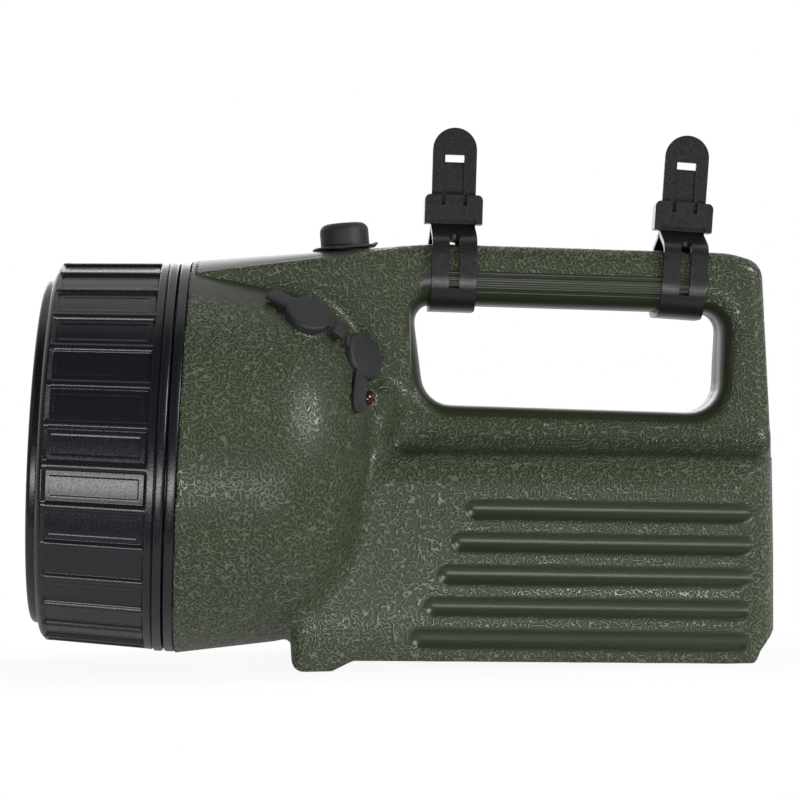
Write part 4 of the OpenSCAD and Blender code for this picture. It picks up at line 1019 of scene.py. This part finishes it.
def paper_white(white):
    """Matt white paper: it glows to white for the camera, with a diffuse share where the shadow falls."""
    paper = bpy.data.materials.new("paper_white")
    tree = empty_tree(paper)
    ray = add(tree, "ShaderNodeLightPath").outputs
    seen = calc(tree, "MULTIPLY_ADD", ray["Is Glossy Ray"], 0.3, ray["Is Camera Ray"])
    seen = calc(tree, "MAXIMUM", seen, ray["Is Transmission Ray"])
    place = add(tree, "ShaderNodeTexCoord").outputs["Object"]
    tone = blend(tree, noise(tree, place, 2.5, 2.0), linear("#f4f4f4"), white)
    matt = add(tree, "ShaderNodeBsdfDiffuse", {"Color": tone})
    glow = add(tree, "ShaderNodeEmission", {"Color": white, "Strength": 1.0})
    reach = add(tree, "ShaderNodeVectorMath", {0: place, 1: (0.3, 1.0, 0.0)}, operation="MULTIPLY")
    reach = add(tree, "ShaderNodeVectorMath", {0: reach.outputs[0]}, operation="LENGTH").outputs["Value"]
    share = calc(tree, "MULTIPLY", seen, ramp(tree, reach, 0.03, 0.094, 0.93, 1.0, "SMOOTHSTEP"))
    both = add(tree, "ShaderNodeMixShader", {0: share, 1: matt.outputs[0], 2: glow.outputs[0]})
    add(tree, "ShaderNodeOutputMaterial", {0: both.outputs[0]})
    return paper


def studio_world(white):
    """Studio: white for the camera, dim for the light it gives, and brighter behind in what is mirrored."""
    world = bpy.data.worlds.new("studio")
    tree = empty_tree(world)
    ray = add(tree, "ShaderNodeLightPath").outputs
    seen = calc(tree, "MAXIMUM", ray["Is Camera Ray"], ray["Is Transmission Ray"])
    way = add(tree, "ShaderNodeSeparateXYZ", {0: add(tree, "ShaderNodeTexCoord").outputs["Generated"]})
    behind = ramp(tree, way.outputs[1], -0.3, 0.8, 0.06, 0.9, "SMOOTHSTEP")
    glossy = add(tree, "ShaderNodeMix", {0: ray["Is Glossy Ray"], 2: 0.11, 3: behind})
    level = add(tree, "ShaderNodeMix", {0: seen, 2: glossy.outputs[0], 3: 1.0})
    sky = add(tree, "ShaderNodeBackground", {"Color": white, "Strength": level.outputs[0]})
    add(tree, "ShaderNodeOutputWorld", {0: sky.outputs[0]})
    return world


def pose_matrix(axes, at):
    """Matrix of an object whose X, Y and Z are the rows of axes, at a place in metres."""
    pose = np.eye(4)
    pose[:3, :3] = np.transpose(axes)
    pose[:3, 3] = at
    return Matrix(pose.tolist())


class FlashlightSizes(bpy.types.PropertyGroup):
    casing_step: bpy.props.FloatProperty(
        name="Casing Step", description="Spacing of the grid that the casing's surface is worked out on",
        default=0.0009, min=0.0006, max=0.003, unit="LENGTH", precision=5)
    rib_count: bpy.props.IntProperty(
        name="Ribs", description="Ribs round the bezel", default=30, min=12, max=60)
    strap_bevel: bpy.props.FloatProperty(
        name="Strap Edge", description="Rounding of the straps' edges",
        default=0.0003, min=0.0, max=0.0006, unit="LENGTH", precision=5)
    floor_size: bpy.props.FloatProperty(
        name="Floor", description="Width of the pale floor", default=0.9, min=0.7, max=5.0, unit="LENGTH")


class FlashlightColours(bpy.types.PropertyGroup):
    # Ground of the grained parts: lighter than the smooth parts of the same plastic as painted sheen
    casing: bpy.props.FloatVectorProperty(
        name="Casing", description="Green of the casing", subtype="COLOR", size=3,
        default=linear("#3c4530")[:3])
    casing_dark: bpy.props.FloatVectorProperty(
        name="Casing Dark", description="Smooth parts of the casing", subtype="COLOR", size=3,
        default=linear("#262d1b")[:3])
    # Painted highlight: the raised strokes of the grain get this lighter colour in place of the glints of
    # light on them
    casing_stroke_highlight: bpy.props.FloatVectorProperty(
        name="Casing Stroke", description="Raised strokes of the casing's grain", subtype="COLOR", size=3,
        default=linear("#848d75")[:3])
    # The faint blue cast of this black is partly a painted bluish reflection
    bezel: bpy.props.FloatVectorProperty(
        name="Bezel", description="Black of the bezel and the collar", subtype="COLOR", size=3,
        default=linear("#14171c")[:3])
    rubber: bpy.props.FloatVectorProperty(
        name="Rubber", description="Black of the button and the caps", subtype="COLOR", size=3,
        default=linear("#232525")[:3])
    strap: bpy.props.FloatVectorProperty(
        name="Strap", description="Charcoal of the straps", subtype="COLOR", size=3,
        default=linear("#1b1c1d")[:3])
    backdrop: bpy.props.FloatVectorProperty(
        name="Backdrop", description="Floor and backdrop", subtype="COLOR", size=3, default=(1.0, 1.0, 1.0))


def shared(name, *values):
    """The moulded material of that name, made the first time it is asked for."""
    return bpy.data.materials.get(name) or moulded(name, *values)


def black_abs(colours):
    # Black ABS from a spark-eroded tool: satin, with a sparkle of fine grit; the faint blue cast of its
    # colour is partly the plastic's own tint and partly a painted bluish reflection
    return shared("abs_black_satin", (*colours.bezel, 1), 0.26, 0.55, 0.012, {"IOR": 1.54})


def black_rubber(colours):
    # Moulded rubber: dull, with wide soft highlights
    return shared("rubber_moulded", (*colours.rubber, 1), 0.55, 0.8, 0.03, {"IOR": 1.5})


class FLASHLIGHT_OT_casing(bpy.types.Operator):
    """Grained casing halves with filleted bowl, spine, handle and battery box"""
    bl_idname = "flashlight.casing"
    bl_label = "Casing"

    def execute(self, context):
        scene = context.scene
        step = scene.flashlight_sizes.casing_step / MM
        finish = leather_abs(scene.flashlight_colours)
        casing_piece("casing_left", -1, step, finish)
        casing_piece("casing_right", 1, step, finish)
        dress(grip_bars(), "casing", finish, crease=80)
        return {"FINISHED"}


class FLASHLIGHT_OT_bezel(bpy.types.Operator):
    """Ribbed bezel and the black collar behind it"""
    bl_idname = "flashlight.bezel"
    bl_label = "Bezel"

    def execute(self, context):
        scene = context.scene
        finish = black_abs(scene.flashlight_colours)
        ribbed = bezel_mesh(scene.flashlight_sizes.rib_count)
        dress(ribbed, "bezel_ring", finish, ("bezel",), 55)
        dress(collar_mesh(), "casing", finish, ("head_collar",), 50)
        return {"FINISHED"}


class FLASHLIGHT_OT_lamp(bpy.types.Operator):
    """Lens, reflector and bulb"""
    bl_idname = "flashlight.lamp"
    bl_label = "Lens and Lamp"

    def execute(self, context):
        # Polycarbonate: clear, with a thin bright edge
        pane = clear("polycarbonate_clear", linear("#f4f8f8"), 1.585, 0.02)
        # Aluminium coat on plastic: a mirror with a slight orange peel
        mirror = sheen_metal("aluminium_coat", linear("#e6e7e8"), 0.05, 6.0, 0.004)
        # Quartz glass of the bulb: clear, with hard highlights
        quartz = clear("quartz_glass", linear("#fbfbfb"), 1.46, 0.0)
        # Drawn tungsten wire: grey and dull
        tungsten = sheen_metal("tungsten_wire", linear("#7d7a76"), 0.35, 0.3, 0.002)
        dress(lens_mesh(), "lens_stack", pane, ("lens",), 60)
        dress(reflector_mesh(), "casing", mirror, ("reflector",), 45)
        glass, wire = bulb_meshes()
        dress(glass, "casing", quartz, ("bulb_glass",), 60)
        dress(wire, "casing", tungsten)
        return {"FINISHED"}


class FLASHLIGHT_OT_button(bpy.types.Operator):
    """Rubber push button and its boot's flange"""
    bl_idname = "flashlight.button"
    bl_label = "Button"

    def execute(self, context):
        finish = black_rubber(context.scene.flashlight_colours)
        dress(button_mesh(), "button", finish, ("switch_button",))
        dress(boot_mesh(), "casing", finish, ("boot_flange",))
        return {"FINISHED"}


class FLASHLIGHT_OT_caps(bpy.types.Operator):
    """Two socket caps with their tongues, the strip between them and the small red lamp"""
    bl_idname = "flashlight.caps"
    bl_label = "Caps and Charge Lamp"

    def execute(self, context):
        colours = context.scene.flashlight_colours
        finish = black_rubber(colours)
        line = AUX_AT - CHARGE_AT
        lift = np.array((0.84, -0.5, 0.2))
        charge = (CHARGE_AT, CHARGE_AXIS, line, 7.7, CHARGE_TONGUE, CHARGE_AXIS, 3.1, 0.9)
        aux = (AUX_AT, AUX_AXIS, -line, 8.2, AUX_TONGUE, lift, 3.4, 6.0)
        for cap, values in (("charge", charge), ("aux", aux)):
            mesh = cap_mesh(cap + "_cap_rubber", *values)
            dress(mesh, cap + "_flap", finish, (cap + "_cap",))
        dress(link_mesh(), "casing", finish, ("cap_link",))
        dome, rim = lamp_meshes()
        # Red tinted epoxy of the small lamp: dark, with sharp highlights
        lacquer = {"IOR": 1.55, "Coat Weight": 0.6}
        epoxy = moulded("epoxy_red", linear("#3d0a0e"), 0.12, 2.0, 0.003, lacquer, 0.1, 1.5)
        dress(dome, "casing", epoxy, ("charge_lamp",), 60)
        dress(rim, "casing", black_abs(colours), crease=60)
        return {"FINISHED"}


class FLASHLIGHT_OT_straps(bpy.types.Operator):
    """Ladder straps round the handle, and their buckles"""
    bl_idname = "flashlight.straps"
    bl_label = "Straps"

    def execute(self, context):
        scene = context.scene
        # Moulded nylon: charcoal, even and half matt
        charcoal = (*scene.flashlight_colours.strap, 1)
        finish = moulded("nylon_charcoal", charcoal, 0.34, 0.7, 0.008, {"IOR": 1.53})
        bevel = scene.flashlight_sizes.strap_bevel / MM
        for end, along, lean in (("front", 14.0, 0.0), ("rear", OPENING_L - 12.5, math.radians(2.5))):
            dress(strap_mesh(end + "_strap_band", along, lean), end + "_loop", finish,
                  (end + "_strap",), 35, bevel)
            buckle = coat(end + "_buckle", finish)
            buckle.modifiers.new("weld", "WELD").merge_threshold = 1e-5
            soft_edges(buckle, 0.35, 50)
        return {"FINISHED"}


class FLASHLIGHT_OT_inside(bpy.types.Operator):
    """Casing screws, and finishes of the pieces inside the casing"""
    bl_idname = "flashlight.inside"
    bl_label = "Screws and Inside"

    def execute(self, context):
        # Zinc-plated steel: bluish grey with fine turning marks
        steel = sheen_metal("zinc_plated_steel", linear("#b4b8bb"), 0.3, 0.8, 0.004)
        # Stamped brass: warm yellow, a little dull
        brass = sheen_metal("stamped_brass", linear("#c9a554"), 0.25, 0.9, 0.004)
        dress(screw_mesh(), "casing", steel, ("shell_screws",), 40)
        # Glass-epoxy board: smooth and shiny under a green lacquer
        board = moulded("glass_epoxy_board", linear("#2c6e49"), 0.35, 1.4, 0.02, {"Coat Weight": 0.3})
        finishes = {"bulb_contact": brass, "bulb_base": brass, "switch_terminals": brass,
                    "battery_terminals": steel, "charge_board": board}
        moulds = (
            # Dark phenolic moulding of the holder, the switch and the sockets: even and satin
            ("phenolic_dark", "#33363a", 0.42, 0.9, 0.02,
             ("bulb_holder", "switch_body", "charge_socket", "aux_socket", "board_parts")),
            # Natural nylon of the plunger: milky
            ("nylon_natural", "#e4dfcf", 0.4, 1.0, 0.01, ("switch_plunger",)),
            # Foam rubber pads: matt, with open cells of about a millimetre
            ("foam_rubber", "#5c6670", 0.9, 1.1, 0.25, ("battery_pads",)),
            # Grey ABS of the battery's case: half matt
            ("abs_battery_grey", "#33373d", 0.45, 0.8, 0.03, ("battery",)),
            # Pasted lead plates and felt in the cells: dull and rough
            ("lead_plates", "#6a6d70", 0.6, 1.6, 0.08, ("battery_cells",)),
            # Soft PVC of the leads: red, with wide highlights
            ("pvc_red", "#9c2b25", 0.4, 1.2, 0.01, ("battery_lead", "lamp_lead", "switch_lead")),
            # Silicone of the lens gasket: grey and dull
            ("silicone_grey", "#55585a", 0.5, 1.0, 0.02, ("lens_gasket",)))
        for name, tone, rough, grit, depth, nodes in moulds:
            finishes.update(dict.fromkeys(nodes, moulded(name, linear(tone), rough, grit, depth)))
        for name, finish in finishes.items():
            coat(name, finish)
        return {"FINISHED"}


class FLASHLIGHT_OT_stage(bpy.types.Operator):
    """Pale floor, soft studio light and the camera"""
    bl_idname = "flashlight.stage"
    bl_label = "Stage"

    def execute(self, context):
        scene = context.scene
        scene.view_settings.view_transform = "Standard"
        white = (*scene.flashlight_colours.backdrop, 1)
        half = scene.flashlight_sizes.floor_size / MM / 2
        corners = ((-half, -96), (half, -96), (half, half), (-half, half))
        mesh = mesh_of("floor", np.column_stack((corners, np.full(4, -0.05))), np.array(((0, 1, 2, 3),)))
        floor = put("floor", mesh)
        mesh.materials.append(paper_white(white))
        floor.visible_shadow = False
        scene.world = studio_world(white)

        # Softboxes: key low by the camera, side light on its right, fill on its left, one above, one behind
        for name, at, size, power in (
                ("key", (-0.1, -1.0, -0.22), (0.9, 0.22), 5.8), ("side", (0.85, -0.7, 0.55), (0.5, 0.5), 9.0),
                ("fill", (-0.9, -0.7, 0.5), (0.6, 0.6), 0.5), ("top", (0.0, 0.1, 1.1), (0.9, 0.5), 0.6),
                ("behind", (-0.1, 1.2, 0.5), (1.0, 0.6), 4.0)):
            lamp = bpy.data.lights.new(name, "AREA")
            lamp.shape = "RECTANGLE"
            lamp.size = size[0]
            lamp.size_y = size[1]
            lamp.energy = power
            box = put(name, lamp)
            level = np.eye(3)[0 if abs(at[0]) < 0.5 else 1]
            box.matrix_world = pose_matrix(axes_toward(np.array(at) - (0, 0, 0.08), level), at)

        level, _, up = tilted(VIEW_ROLL)
        right = level * math.cos(VIEW_YAW) - np.array((0, math.sin(VIEW_YAW), 0))
        view = level * math.sin(VIEW_YAW) + np.array((0, math.cos(VIEW_YAW), 0))
        lens = bpy.data.cameras.new("camera")
        lens.sensor_width = SENSOR_WIDTH
        lens.lens = SENSOR_WIDTH * PIXELS_PER_MM * VIEW_DISTANCE / PICTURE_WIDTH
        lens.clip_start = 0.01
        camera = put("camera", lens)
        camera.matrix_world = pose_matrix((right, up, -view), (VIEW_AT - VIEW_DISTANCE * view) * MM)
        scene.camera = camera
        return {"FINISHED"}


class FLASHLIGHT_PT_panel(bpy.types.Panel):
    """Sizes, colours and pieces of the flashlight"""
    bl_idname = "FLASHLIGHT_PT_panel"
    bl_label = "Flashlight"
    bl_space_type = "VIEW_3D"
    bl_region_type = "UI"
    bl_category = "Flashlight"

    def draw(self, context):
        for group in (context.scene.flashlight_sizes, context.scene.flashlight_colours):
            for name in group.bl_rna.properties.keys():
                if name not in ("rna_type", "name"):
                    self.layout.prop(group, name)
        for operator in OPERATORS:
            self.layout.operator(operator.bl_idname)


OPERATORS = (FLASHLIGHT_OT_stage, FLASHLIGHT_OT_casing, FLASHLIGHT_OT_bezel, FLASHLIGHT_OT_lamp,
             FLASHLIGHT_OT_button, FLASHLIGHT_OT_caps, FLASHLIGHT_OT_straps, FLASHLIGHT_OT_inside)
CLASSES = (FlashlightSizes, FlashlightColours, *OPERATORS, FLASHLIGHT_PT_panel)


def register():
    for kind in CLASSES:
        bpy.utils.register_class(kind)
    bpy.types.Scene.flashlight_sizes = bpy.props.PointerProperty(type=FlashlightSizes)
    bpy.types.Scene.flashlight_colours = bpy.props.PointerProperty(type=FlashlightColours)


def unregister():
    del bpy.types.Scene.flashlight_colours
    del bpy.types.Scene.flashlight_sizes
    for kind in reversed(CLASSES):
        bpy.utils.unregister_class(kind)


def main():
    register()
    bpy.ops.flashlight.stage()
    bpy.ops.flashlight.casing()
    bpy.ops.flashlight.bezel()
    bpy.ops.flashlight.lamp()
    bpy.ops.flashlight.button()
    bpy.ops.flashlight.caps()
    bpy.ops.flashlight.straps()
    bpy.ops.flashlight.inside()


if __name__ == "__main__":
    main()
